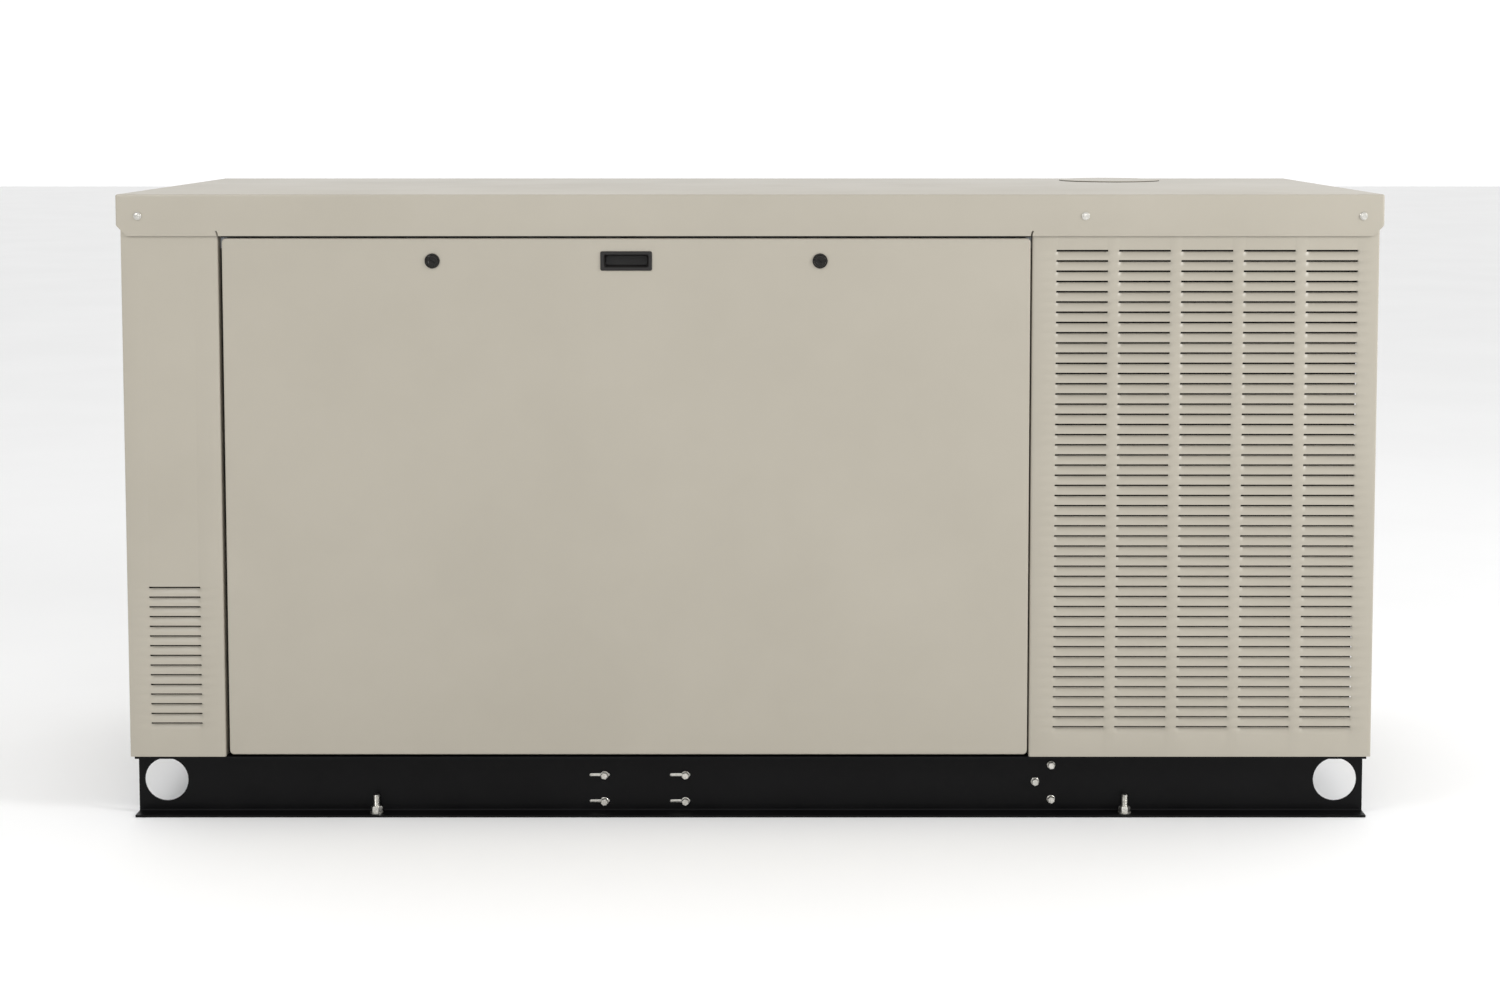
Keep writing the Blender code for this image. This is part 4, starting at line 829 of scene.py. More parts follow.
# a zinc strip lies in each slot behind its bolt, a little below the face of the rail
slotLook = {"starts": (-0.2967, -0.1487), "long": 0.037, "tall": 0.0056, "below": 0.0012,
            "thick": 0.002}
face, half = web - slotLook["below"], slotLook["tall"] / 2
addPiece("slot_strips", [sideBox(side, (start, start + slotLook["long"]),
                                 (face, face - slotLook["thick"]), (height - half, height + half),
                                 0.0004, 2)
                         for side in (-1, 1) for start in slotLook["starts"]
                         for height in boltLook["slotRows"]], zincPlate, smooth=30)

anchorLook = {"across": (-0.686, 0.686), "out": 0.400, "plate": 0.004, "stud": 0.006,
              "top": 0.038, "nut": 0.0185, "nutTall": 0.0105, "washer": 0.012,
              "washerTall": 0.0025, "threads": 9, "threadStart": 0.0140, "threadPitch": 0.0022}


def anchorStuds():
    stud, top = anchorLook["stud"], anchorLook["top"] - anchorLook["plate"]
    turns = [(stud, 0.0)]
    # a few coarse threads above the nut
    for step in range(anchorLook["threads"]):
        height = anchorLook["threadStart"] + step * anchorLook["threadPitch"]
        turns += [(stud, height), (stud - 0.0009, height + 0.0011)]
    turns += [(stud, top - 0.0012), (stud - 0.001, top)]
    forms = []
    for side in (-1, 1):
        for across in anchorLook["across"]:
            at = (across, side * anchorLook["out"], anchorLook["plate"])
            nut = hexBolt(anchorLook["nut"], anchorLook["nutTall"], anchorLook["washer"],
                          anchorLook["washerTall"])
            forms += [placed(turned(turns, (0, 0, 0), sides=24), at),
                      placed(nut, at, upward, math.radians(15 + 20 * side))]
    addPiece("anchor_studs", forms, zincPlate, smooth=30)


anchorStuds()
print("fasteners made")

# acoustic foam glued under the roof
liningLook = {"thick": 0.014, "edge": 0.004, "away": 0.070, "glue": 0.0006, "start": 0.020,
              "end": 0.506}
low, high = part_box("roof_panel")
top, away = high.z - roofLook["sheet"] - liningLook["glue"], liningLook["away"]
addPiece("roof_lining", softBox((low.x + liningLook["start"], low.y + away,
                                 top - liningLook["thick"]),
                                (liningLook["end"], high.y - away, top), liningLook["edge"]),
         acousticFoam)

# screw caps: finger ribs round the edge, then (share of the radius, share of the height) levels
capLook = {"sides": 96, "rib": 0.0012,
           "levels": ((0.93, 0.0), (1.0, 0.09), (1.0, 0.68), (0.96, 0.86), (0.86, 0.98),
                      (0.50, 0.99))}


def ribbedCap(name, node, body, dip):
    # dip: the height of the dished middle
    low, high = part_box(node)
    middle = (low + high) / 2
    radius, tall = (high.x - low.x) / 2, high.z - low.z
    outline = []
    for step in range(capLook["sides"]):
        turn = math.tau * step / capLook["sides"]
        reach = radius - capLook["rib"] * (step % 4 in (1, 2))
        outline.append((reach * math.cos(turn), reach * math.sin(turn)))
    rings = [[(middle.x + across * share, middle.y + deep * share, low.z + height * tall)
              for across, deep in outline] for share, height in (*capLook["levels"], (0.46, dip))]
    addPiece(name, loft(rings), blackNylon, body, [node], 30)


ribbedCap("coolant_cap_ribbed", "coolant_cap", "coolant_cap", 0.88)
ribbedCap("oil_cap_ribbed", "oil_filler_cap", "oil_cap", 0.80)

# overflow tank: blow-moulded in two halves, with a seam rib round its middle and a threaded neck
tankLook = {"edge": 0.014, "seam": 0.0022, "seamTall": 0.003, "neck": 0.022, "neckTall": 0.025,
            "fromWall": 0.0145, "padOver": 0.004}


def coolantTank():
    low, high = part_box("coolant_tank")
    capLow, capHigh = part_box("coolant_cap")
    middle = (capLow + capHigh) / 2
    seam, back = tankLook["seam"], high.y - tankLook["fromWall"]
    shoulder = high.z - tankLook["neckTall"]
    body = softBox((low.x + seam, low.y + seam, low.z), (high.x - seam, back - seam, shoulder),
                   tankLook["edge"], 5)
    half = (low.z + shoulder) / 2
    rib = softBox((low.x, low.y, half), (high.x, back, half + tankLook["seamTall"]), 0.0012)
    neck = tankLook["neck"]
    profile = [(neck + 0.006, -0.003), (neck + 0.002, 0.001), (neck, 0.005), (neck, 0.010),
               (neck + 0.0015, 0.011), (neck + 0.0015, 0.012), (neck, 0.013), (neck, 0.0245),
               (neck - 0.003, 0.0245), (neck - 0.003, 0.002), (0, 0.002)]
    addPiece("coolant_tank_shell", [body, rib, turned(profile, (middle.x, middle.y, shoulder))],
             milkyTank, replaced=["coolant_tank"])
    over = tankLook["padOver"]
    pad = softBox((low.x - over, back + 0.0008, low.z - over),
                  (high.x + over, back + 0.0050, high.z + over), 0.0015)
    addPiece("coolant_tank_pad", pad, acousticFoam)


coolantTank()
print("lining and tank made")


def boltRows(start, pitch, count, out, height, facing, turn):
    # a row along each side
    return [((start + step * pitch, side * out, height), facing, turn * step)
            for side in (-1, 1) for step in range(count)]


def boltRing(count, radius, at, axis, facing, turn):
    spots = []
    for step, (across, height) in enumerate(circle(count)):
        spot = onAxis(axis, radius * across, radius * height, 0)
        spots.append((tuple(a + b for a, b in zip(at, spot)), facing, turn * step))
    return spots


# engine block: core plugs, cast ribs between them, and rails along its top and bottom
engineLook = {
    "low": (-0.1997, -0.120, 0.300), "high": (0.3003, 0.120, 0.580),
    "plugRadius": 0.021, "plugs": (-0.120, -0.010, 0.100, 0.210), "plugHeight": 0.490,
    "ribs": (-0.175, -0.065, 0.045, 0.155), "ribHeights": (0.400, 0.566), "sunk": 0.004,
    "ribProud": 0.0045, "railProud": 0.0034,
}


def engineCasting():
    low, high = Vector(engineLook["low"]), Vector(engineLook["high"])
    radius, sunk = engineLook["plugRadius"], high.y - engineLook["sunk"]
    profile = [(radius + 0.004, -0.002), (radius + 0.004, 0.0022), (radius, 0.0026),
               (radius - 0.001, 0.0006), (0, 0.0006)]
    forms = []
    for side in (-1, 1):
        for across in engineLook["plugs"]:
            if side < 0 and across > 0.2:
                continue
            forms.append(placed(turned(profile, (0, 0, 0), sides=36),
                                (across, side * high.y, engineLook["plugHeight"]), (0, side, 0)))
        for across in engineLook["ribs"]:
            forms.append(sideBox(side, (across - 0.004, across + 0.004),
                                 (sunk, high.y + engineLook["ribProud"]),
                                 engineLook["ribHeights"], 0.0025))
        start = low.x + 0.190 * (side > 0)
        rails = [((low.x, 0.244), (high.z - 0.014, high.z), 0.0025),
                 ((start, 0.238), (low.z, low.z + 0.013), 0.0025),
                 ((start, 0.238), (0.375, 0.386), 0.003)]
        forms += [sideBox(side, across, (sunk, high.y + engineLook["railProud"]), heights, edge)
                  for across, heights, edge in rails]
    addPiece("engine_block_ribs", forms, castIron)


def cylinderHead():
    low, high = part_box("cylinder_head")
    coverLow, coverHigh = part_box("valve_cover")
    forms = [softBox((low.x, low.y, low.z), (high.x, high.y, low.z + 0.016), 0.002),
             softBox((low.x + 0.004, low.y + 0.006, low.z + 0.010),
                     (high.x - 0.004, high.y - 0.006, high.z - 0.008), 0.005),
             softBox((low.x + 0.001, low.y + 0.002, high.z - 0.016),
                     (high.x - 0.001, high.y - 0.002, high.z), 0.003)]
    for side in (-1, 1):
        for step in range(9):
            across = low.x + 0.030 + step * 0.054
            forms.append(sideBox(side, (across - 0.0035, across + 0.0035),
                                 (high.y - 0.010, high.y - 0.0012),
                                 (low.z + 0.010, high.z - 0.010), 0.002))
    addPiece("cylinder_head_casting", forms, castAluminium, replaced=["cylinder_head"])
    # moulded cover: a bolted rim, a body that draws in upwards, ribs along its top, a filler boss
    rim = 0.007
    capLow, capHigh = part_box("oil_filler_cap")
    boss = (capLow + capHigh) / 2
    base, seat = coverLow.z, capLow.z - 0.0004
    levels = [(0.009, base + rim - 0.001), (0.009, base + rim), (0.011, base + 0.040),
              (0.013, base + 0.052), (0.018, base + 0.059), (0.027, base + 0.0615)]
    forms = [softBox((coverLow.x, coverLow.y, base), (coverHigh.x, coverHigh.y, base + rim),
                     0.0015),
             plate("Z", coverLow[:2], coverHigh[:2], 0.024, levels)]
    forms += [sideBox(side, (coverLow.x + 0.030, coverHigh.x - 0.030),
                      (offset - 0.0022, offset + 0.0022), (base + 0.055, base + 0.0655), 0.0018)
              for side in (-1, 1) for offset in (0.034, 0.046)]
    forms.append(turned([(0.031, base + 0.050), (0.029, base + 0.060), (0.027, seat), (0, seat)],
                        (boss.x, boss.y, 0), sides=40))
    addPiece("valve_cover_moulding", forms, blackNylon, replaced=["valve_cover"])
    boltSet("valve_cover_bolts", boltRows(coverLow.x + 0.025, 0.084, 6, coverHigh.y - 0.0045,
                                          base + rim, upward, 17), 0.0070, 0.004, 0.0042)
    boltSet("head_bolts", boltRows(low.x + 0.045, 0.100, 5, 0.0900, high.z, upward, 23),
            0.0110, 0.0065, 0.0072)


coilLook = {"across": (-0.130, -0.050, 0.030, 0.110), "size": (0.034, 0.050, 0.020)}


def ignitionCoils():
    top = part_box("valve_cover")[0].z + 0.0605
    long, wide, tall = coilLook["size"]
    forms = []
    for across in coilLook["across"]:
        forms += [softBox((across - long / 2, -wide / 2, top),
                          (across + long / 2, wide / 2 - 0.012, top + tall), 0.004),
                  turned([(0.0150, -0.006), (0.0150, 0.004), (0.0125, 0.006), (0, 0.006)],
                         (across, -0.005, top)),
                  softBox((across - 0.009, wide / 2 - 0.014, top + 0.004),
                          (across + 0.009, wide / 2 + 0.004, top + 0.016), 0.002)]
    addPiece("ignition_coils", forms, blackNylon)


def oilPan():
    low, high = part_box("oil_pan")
    # (inset in X at the back, inset in X at the front, inset in Y, height): the sump is at the back
    levels = [(0, 0, 0, high.z), (0, 0, 0, high.z - 0.006), (0.009, 0.009, 0.009, high.z - 0.0065),
              (0.010, 0.011, 0.010, high.z - 0.030), (0.014, 0.060, 0.013, high.z - 0.052),
              (0.018, 0.120, 0.016, high.z - 0.066), (0.022, 0.132, 0.020, low.z + 0.012),
              (0.027, 0.138, 0.025, low.z + 0.003), (0.036, 0.147, 0.034, low.z)]
    rings = []
    for back, front, inset, height in levels:
        loop = roundedLoop((low.x + back, low.y + inset), (high.x - front, high.y - inset), 0.022)
        rings.append([(across, deep, height) for across, deep in loop])
    addPiece("oil_pan_pressing", loft(rings), chassisEnamel, replaced=["oil_pan"])
    spots = boltRows(low.x + 0.035, 0.066, 6, high.y - 0.005, high.z - 0.006, downward, 15)
    spots.append(((low.x + 0.075, low.y + 0.0175, low.z + 0.022), (0, -1, 0), 10))
    boltSet("oil_pan_bolts", spots, 0.0085, 0.005, 0.0055)


cleanerLook = {"sides": 72, "clips": 4, "bands": 5, "bandStart": 0.100, "bandPitch": 0.032}


def airCleaner():
    low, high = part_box("air_cleaner")
    middle = (low + high) / 2
    rim = (high.z - low.z) / 2
    profile = fromEnds(low.x, high.x, rim, [
        (0, 0), (-0.030, 0), (-0.028, 0.003), (-0.012, 0.003), (-0.006, 0.006), (-0.003, 0.014),
        (-0.003, 0.052), (rim, 0.054), (rim, 0.060), (-0.002, 0.0605), (-0.002, 0.0625),
        (rim, 0.063), (rim, 0.069), (-0.004, 0.071)])
    for step in range(cleanerLook["bands"]):
        start = low.x + cleanerLook["bandStart"] + step * cleanerLook["bandPitch"]
        profile += [(rim - 0.004, start), (rim - 0.0015, start + 0.002),
                    (rim - 0.0015, start + 0.006), (rim - 0.004, start + 0.008)]
    profile += fromEnds(low.x, high.x, rim, [(-0.004, -0.018), (-0.008, -0.006), (-0.020, -0.001),
                                             (-0.050, None), (0, None)])
    canister = turned(profile, (0, middle.y, middle.z), "X", cleanerLook["sides"])
    addPiece("air_cleaner_canister", canister, blackNylon, replaced=["air_cleaner"], smooth=30)
    clips = []
    for across, height in circle(cleanerLook["clips"]):
        out = Vector((0, across, height))
        spot = Vector((low.x + 0.0615, middle.y, middle.z)) + out * (rim - 0.0025)
        clip = softBox((-0.0065, -0.011, -0.0005), (0.0065, 0.011, 0.0022), 0.0008)
        clips.append(placed(clip, spot, out, math.radians(90)))
    addPiece("air_cleaner_clips", clips, zincPlate)


# the solenoid lies on the starter, on a saddle, with two studs at its end
def starterSolenoid():
    low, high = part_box("starter_motor")
    at = (0, (low.y + high.y) / 2, high.z + 0.020)
    profile = fromEnds(low.x, high.x, 0,
                       [(0, 0.035), (0.019, 0.035), (0.021, 0.038), (0.021, 0.112),
                                          (0.018, 0.115), (0.017, 0.128), (0, 0.128)])
    saddle = softBox((low.x + 0.045, at[1] - 0.010, high.z - 0.006),
                     (low.x + 0.105, at[1] + 0.010, high.z + 0.006), 0.002)
    addPiece("starter_solenoid", [turned(profile, at, "X", 40), saddle], chassisEnamel)
    spots = [((low.x + 0.128, at[1] + offset, at[2]), (1, 0, 0), 10) for offset in (-0.009, 0.009)]
    boltSet("solenoid_studs", spots, 0.0075, 0.008, 0.0048)


# worm-drive clamps, each a little way in from its hose's end
clampLook = {"band": 0.0095, "proud": 0.0012, "hose": 0.020, "fromEnd": 0.016}
pumpPort = {"x": 0.3333, "y": 0.0583, "z": 0.560}


def hoseClamps():
    hose, half, proud = clampLook["hose"], clampLook["band"] / 2, clampLook["proud"]
    inset, plenum = clampLook["fromEnd"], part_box("upper_hose")[1].x
    spots = [((0.3006 + inset, 0.060, 0.640), (1, 0, 0)),
             ((plenum - inset, 0.200, 0.898), (1, 0, 0)),
             ((plenum - inset, 0.180, 0.199), (1, 0, 0)),
             ((pumpPort["x"], pumpPort["y"] + inset, pumpPort["z"]), (0, 1, 0))]
    forms = []
    for at, facing in spots:
        band = turned([(hose - 0.001, -half), (hose + proud, -half), (hose + proud, half),
                       (hose - 0.001, half)], (0, 0, 0), hollow=True)
        screw = softBox((-0.008, hose + 0.0005, -0.0055), (0.008, hose + 0.0085, 0.0055), 0.0015)
        forms.append(placed(merged([band, screw]), at, facing, math.radians(30)))
    addPiece("hose_clamps", forms, zincPlate, smooth=30)


for part in (engineCasting, cylinderHead, ignitionCoils, oilPan, airCleaner, starterSolenoid,
             hoseClamps):
    part()
print("engine dressed")

alternatorLook = {"sides": 80, "vents": 20, "ventSize": (0.034, 0.011), "wall": 0.014,
                  "footTop": 0.235, "bolts": 8}


def alternatorFrame():
    low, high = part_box("alternator_housing")
    rim = (high.y - low.y) / 2
    left, right, axle = low.x, high.x, high.z - rim
    inner = rim - 0.006 - alternatorLook["wall"]
    profile = fromEnds(left, right, rim, [
        (0.032, 0), (0.062, 0), (0.066, 0.003), (0.090, 0.003), (0.094, 0), (-0.030, 0),
        (-0.014, 0.006), (-0.006, 0.016), (-0.004, 0.026), (-0.004, 0.080), (rim, 0.082),
        (rim, 0.094), (-0.006, 0.096), (-0.006, 0.200), (-0.0045, 0.202), (-0.0045, 0.208),
        (-0.006, 0.210), (-0.006, -0.210), (-0.0045, -0.208), (-0.0045, -0.202), (-0.006, -0.200),
        (-0.006, -0.096), (rim, -0.094), (rim, -0.082), (-0.004, -0.080), (-0.004, -0.014),
        (rim, -0.012), (rim, None), (inner, None), (inner, 0.020), (0.032, 0.014)])
    shell = turned(profile, (0, 0, axle), "X", alternatorLook["sides"], hollow=True)
    long, wide = alternatorLook["ventSize"]
    vents = []
    for middle in (left + 0.052, right - 0.047):
        for across, height in circle(alternatorLook["vents"]):
            out = Vector((0, across, height))
            vent = softBox((-wide / 2, -long / 2, -0.014), (wide / 2, long / 2, 0.014), 0.003, 2)
            vents.append(placed(vent, Vector((middle, 0, axle)) + out * (rim - 0.010), out,
                                math.radians(90) if abs(out.z) > 0.999 else 0))
    forms = [carved(shell, [merged(vents)])]
    crossLow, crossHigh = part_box("alternator_crossmember")
    middle = (crossLow.x + crossHigh.x) / 2
    foot, top, deep = low.z, alternatorLook["footTop"], (0.100, 0.160)
    for side in (-1, 1):
        forms.append(sideBox(side, (middle - 0.100, middle + 0.100), deep, (foot, foot + 0.014),
                             0.002))
        for offset in (-0.080, 0.0, 0.080):
            forms.append(sideBox(side, (middle + offset - 0.006, middle + offset + 0.006), deep,
                                 (foot + 0.008, top), 0.002))
        forms.append(sideBox(side, (middle - 0.098, middle + 0.098), (0.124, 0.136),
                             (foot + 0.008, top), 0.002))
    addPiece("alternator_frame", forms, castIron, replaced=["alternator_housing"], smooth=30)
    spots = boltRing(alternatorLook["bolts"], rim - 0.040, (left, 0, axle), "X", (-1, 0, 0), 20)
    spots += [((middle + offset, side * 0.148, foot + 0.014), upward, 30 * side)
              for side in (-1, 1) for offset in (-0.092, 0.092)]
    boltSet("alternator_bolts", spots, 0.0150, 0.009, 0.0100)


def batteryPieces():
    low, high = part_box("battery")
    top = high.z - 0.015
    forms = [softBox((low.x + 0.003, low.y + 0.003, low.z),
                     (high.x - 0.003, high.y - 0.003, top - 0.034), 0.004),
             softBox((low.x, low.y, top - 0.038), (high.x, high.y, top - 0.008), 0.004),
             softBox((low.x + 0.012, low.y + 0.058, top - 0.012),
                     (high.x - 0.012, high.y - 0.010, top), 0.003),
             softBox((low.x + 0.062, low.y + 0.008, top - 0.012),
                     (high.x - 0.062, low.y + 0.056, top - 0.002), 0.003)]
    for step in range(5):
        across = low.x + 0.030 + step * 0.045
        forms.append(softBox((across - 0.002, low.y + 0.0012, low.z + 0.020),
                             (across + 0.002, low.y + 0.006, top - 0.045), 0.001))
    for step in range(6):
        forms.append(turned([(0.0105, -0.001), (0.0105, 0.0012), (0.0095, 0.0022),
                             (0.0040, 0.0022), (0.0036, 0.0010), (0, 0.0010)],
                            (low.x + 0.032 + step * 0.0352, high.y - 0.038, top), sides=28))
    addPiece("battery_case", forms, blackNylon, replaced=["battery"])
    forms = []
    deep = low.y + 0.030
    for across in (low.x + 0.035, high.x - 0.035):
        # a post, and the clamp round it
        forms += [turned([(0.0125, -0.009), (0.0125, -0.0045), (0.0090, -0.004), (0.0082, 0.0145),
                          (0.0074, 0.015), (0, 0.015)], (across, deep, top), sides=32),
                  softBox((across - 0.014, deep - 0.012, top - 0.001),
                          (across + 0.014, deep + 0.012, top + 0.009), 0.003)]
    addPiece("battery_posts", forms, lead)
    # a strap over the lid, held down by a rod
    across = (low.x + high.x) / 2
    strap = softBox((across - 0.011, low.y - 0.003, top + 0.0005),
                    (across + 0.011, high.y + 0.012, top + 0.0035), 0.001)
    rod = turned([(0, low.z), (0.003, low.z), (0.003, top + 0.010), (0, top + 0.010)],
                 (across, high.y + 0.006, 0), sides=16)
    addPiece("battery_strap", [strap, rod], zincPlate)


alternatorFrame()
batteryPieces()
print("alternator and battery made")

panelLook = {"proud": 0.0016, "bottom": 0.708, "screen": (0.110, 0.062), "screenZ": 0.896,
             "collar": 0.0135, "buttonHole": 0.0099, "lampHeight": 0.826,
             "hinges": (0.740, 0.840, 0.940)}
# how far each lamp is left of the panel's middle, before the row is moved right by 60 mm
lampLook = {"ready_lamp": (-0.060, greenAbs), "fault_lamp": (-0.080, redAbs),
            "running_lamp": (-0.040, amberLens)}


def controlPieces():
    low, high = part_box("control_box")
    top, face = high.z, low.y
    middle = (low.x + high.x) / 2
    buttons = []
    for name in ("auto_button", "off_button", "manual_button"):
        buttonLow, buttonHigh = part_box(name)
        buttons.append((buttonLow + buttonHigh) / 2)
    hole, screenZ = panelLook["buttonHole"], panelLook["screenZ"]
    halfLong, halfTall = panelLook["screen"][0] / 2, panelLook["screen"][1] / 2
    front = face - panelLook["proud"]
    panel = plate("Y", (low.x + 0.008, panelLook["bottom"]), (high.x - 0.008, top - 0.008), 0.006,
                  edgeLevels(face, front, 0.0006, 2, False))
    holes = [turned([(hole, -past), (hole, past)], (at.x, face, at.z), "Y", 40) for at in buttons]
    addPiece("control_panel", carved(panel, holes), galvanised, smooth=30)
    left, right = middle - halfLong, middle + halfLong
    below, above = screenZ - halfTall, screenZ + halfTall
    bezel = plate("Y", (left - 0.009, below - 0.009), (right + 0.009, above + 0.009), 0.006,
                  edgeLevels(front, front - 0.004, 0.0015, 3, False))
    window = plate("Y", (left, below), (right, above), 0.003,
                   [(0, front - 0.0022), (0, front - past)])
    forms = [carved(bezel, [window])]
    collar = panelLook["collar"]
    profile = [(collar, 0.0002), (collar, 0.0014), (collar - 0.0010, 0.0022),
               (hole + 0.0004, 0.0022), (hole, 0.0016), (hole, 0.0002)]
    for at in buttons:
        forms.append(turned([(radius, -proud) for radius, proud in profile], (at.x, front, at.z),
                            "Y", hollow=True))
    # latch at the panel's right edge and three hinge knuckles at its left
    latch = turned([(0.011, 0), (0.011, 0.002), (0.010, 0.003), (0, 0.003)], (0, 0, 0), sides=36)
    forms += [placed(latch, (high.x - 0.024, front, screenZ), (0, -1, 0)),
              softBox((high.x - 0.0265, front - 0.0075, screenZ - 0.009),
                      (high.x - 0.0215, front - 0.0025, screenZ + 0.009), 0.0012)]
    for height in panelLook["hinges"]:
        bottom, top = height - 0.012, height + 0.012
        forms.append(turned([(0, bottom), (0.0042, bottom), (0.0042, top), (0, top)],
                            (low.x + 0.0055, face - 0.0035, 0), sides=20))
    addPiece("control_panel_fittings", forms, blackNylon, smooth=30)
    screen = plate("Y", (left + 0.0003, below + 0.0003), (right - 0.0003, above - 0.0003), 0.003,
                   edgeLevels(front - 0.0022, front - 0.0030, 0.0003, 2, False))
    addPiece("control_screen", screen, tintedAcrylic)
    for name, (offset, material) in lampLook.items():
        dome = turned([(0.0042, 0), (0.0042, 0.0012), (0.0036, 0.0024), (0.0022, 0.0033),
                       (0, 0.0036)], (0, 0, 0), sides=24)
        at = (middle + offset + 0.060, front, panelLook["lampHeight"])
        addPiece(name, placed(dome, at, (0, -1, 0)), material)


def breakerPieces():
    # a rim round the lever's pocket, a ledge over and under it, and four screws
    low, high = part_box("circuit_breaker")
    across, height = (low.x + high.x) / 2, (low.z + high.z) / 2
    rim = plate("Y", (across - 0.022, height - 0.050), (across + 0.022, height + 0.050), 0.006,
                edgeLevels(low.y, low.y - 0.003, 0.0012, 3, False))
    pocket = plate("Y", (across - 0.0092, height - 0.0355), (across + 0.0092, height + 0.0355),
                   0.002, [(0, low.y + past), (0, low.y - past)])
    forms = [carved(rim, [pocket])]
    for start in (low.z + 0.014, high.z - 0.024):
        forms.append(softBox((low.x + 0.012, low.y - 0.0014, start),
                             (high.x - 0.012, low.y + 0.001, start + 0.010), 0.0006))
    addPiece("breaker_rim", forms, blackNylon)
    spots = [((across, low.y, height), (0, -1, 0), 0) for across in (low.x + 0.012, high.x - 0.012)
             for height in (low.z + 0.035, high.z - 0.035)]
    boltSet("breaker_screws", spots, 0.0055, 0.0025, 0.0042)


controlPieces()
breakerPieces()
print("controls made")

crankAxis = 0.380    # height of the crankshaft
bellLook = {"sides": 80, "bore": 0.162, "hub": 0.031, "ribs": 16, "feetOut": 0.190}


def flywheelBell():
    low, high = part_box("flywheel_housing")
    rim = high.z - crankAxis
    back, front = low.x, high.x
    bore, hub, out = bellLook["bore"], bellLook["hub"], bellLook["feetOut"]
    profile = fromEnds(back, front, rim, [
        (-0.004, 0), (rim, 0.003), (rim, 0.014), (-0.007, 0.016), (-0.014, -0.018),
        (-0.003, -0.015), (rim, -0.012), (rim, -0.0003), (hub, -0.0003), (hub, -0.018),
        (bore, -0.018), (bore, 0)])
    forms = [turned(profile, (0, 0, crankAxis), "X", bellLook["sides"], hollow=True)]
    for step in range(bellLook["ribs"]):
        turn = math.tau * (step + 0.5) / bellLook["ribs"]
        rib = softBox((back + 0.012, -0.0035, rim - 0.022), (front - 0.012, 0.0035, rim - 0.0012),
                      0.0015)
        rib.transform(Matrix.Translation((0, 0, crankAxis)) @ Matrix.Rotation(turn, 4, "X"))
        forms.append(rib)
    end, foot = front - 0.0003, low.z
    for side in (-1, 1):
        middle = side * (out + high.y) / 2
        forms += [sideBox(side, (-0.2337, end), (out, high.y), (foot, foot + 0.012), 0.003),
                  sideBox(side, (-0.2210, end), (out, high.y), (foot + 0.004, 0.250), 0.004),
                  softBox((-0.2330, middle - 0.006, foot + 0.004),
                          (-0.2120, middle + 0.006, 0.255), 0.003),
                  sideBox(side, (-0.2437, end), (0.128, high.y), (0.230, 0.260), 0.005)]
    addPiece("flywheel_bell", forms, castAluminium, replaced=["flywheel_housing"], smooth=30)


chargerLook = {"vents": 14, "ventSize": (0.013, 0.0075, 0.012)}


def chargerBody():
    low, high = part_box("charging_alternator")
    rim = (high.z - low.z) / 2
    at = (0, low.y + rim, (low.z + high.z) / 2)
    profile = fromEnds(low.x, high.x, rim, [
        (0, 0), (0.030, 0), (0.050, 0.002), (-0.003, 0.010), (-0.001, 0.016), (-0.001, 0.034),
        (-0.005, 0.036), (-0.005, 0.072), (-0.001, 0.074), (-0.001, -0.016), (-0.004, -0.008),
        (0.046, -0.001), (0.012, -0.0001), (0, -0.0001)])
    vents = []
    along = Vector((1, 0, 0))
    long, wide, tall = (size / 2 for size in chargerLook["ventSize"])
    for middle in (low.x + 0.024, high.x - 0.022):
        for across, height in circle(chargerLook["vents"]):
            out = Vector((0, across, height))
            spot = Vector((middle, at[1], at[2])) + out * rim
            out.normalize()
            turn = Matrix((along, out.cross(along), out)).transposed().to_4x4()
            vent = softBox((-long, -wide, -tall), (long, wide, tall), 0.0012, 2)
            vent.transform(Matrix.Translation(spot) @ turn)
            vents.append(vent)
    body = carved(turned(profile, at, "X", 56), [merged(vents)])
    arm = softBox((low.x + 0.034, high.y - 0.040, at[2] - 0.016),
                  (low.x + 0.072, high.y, at[2] + 0.016), 0.004)
    pad = softBox((low.x + 0.026, high.y - 0.009, at[2] - 0.030),
                  (low.x + 0.046, high.y, at[2] + 0.030), 0.003)
    addPiece("charger_body", [body, arm, pad], castAluminium, replaced=["charging_alternator"],
             smooth=30)


portLook = {"middle": 0.0503, "pitch": 0.085, "runner": 0.0165, "logRadius": 0.030,
            "logHeight": 0.620, "exhaustHeight": 0.632}


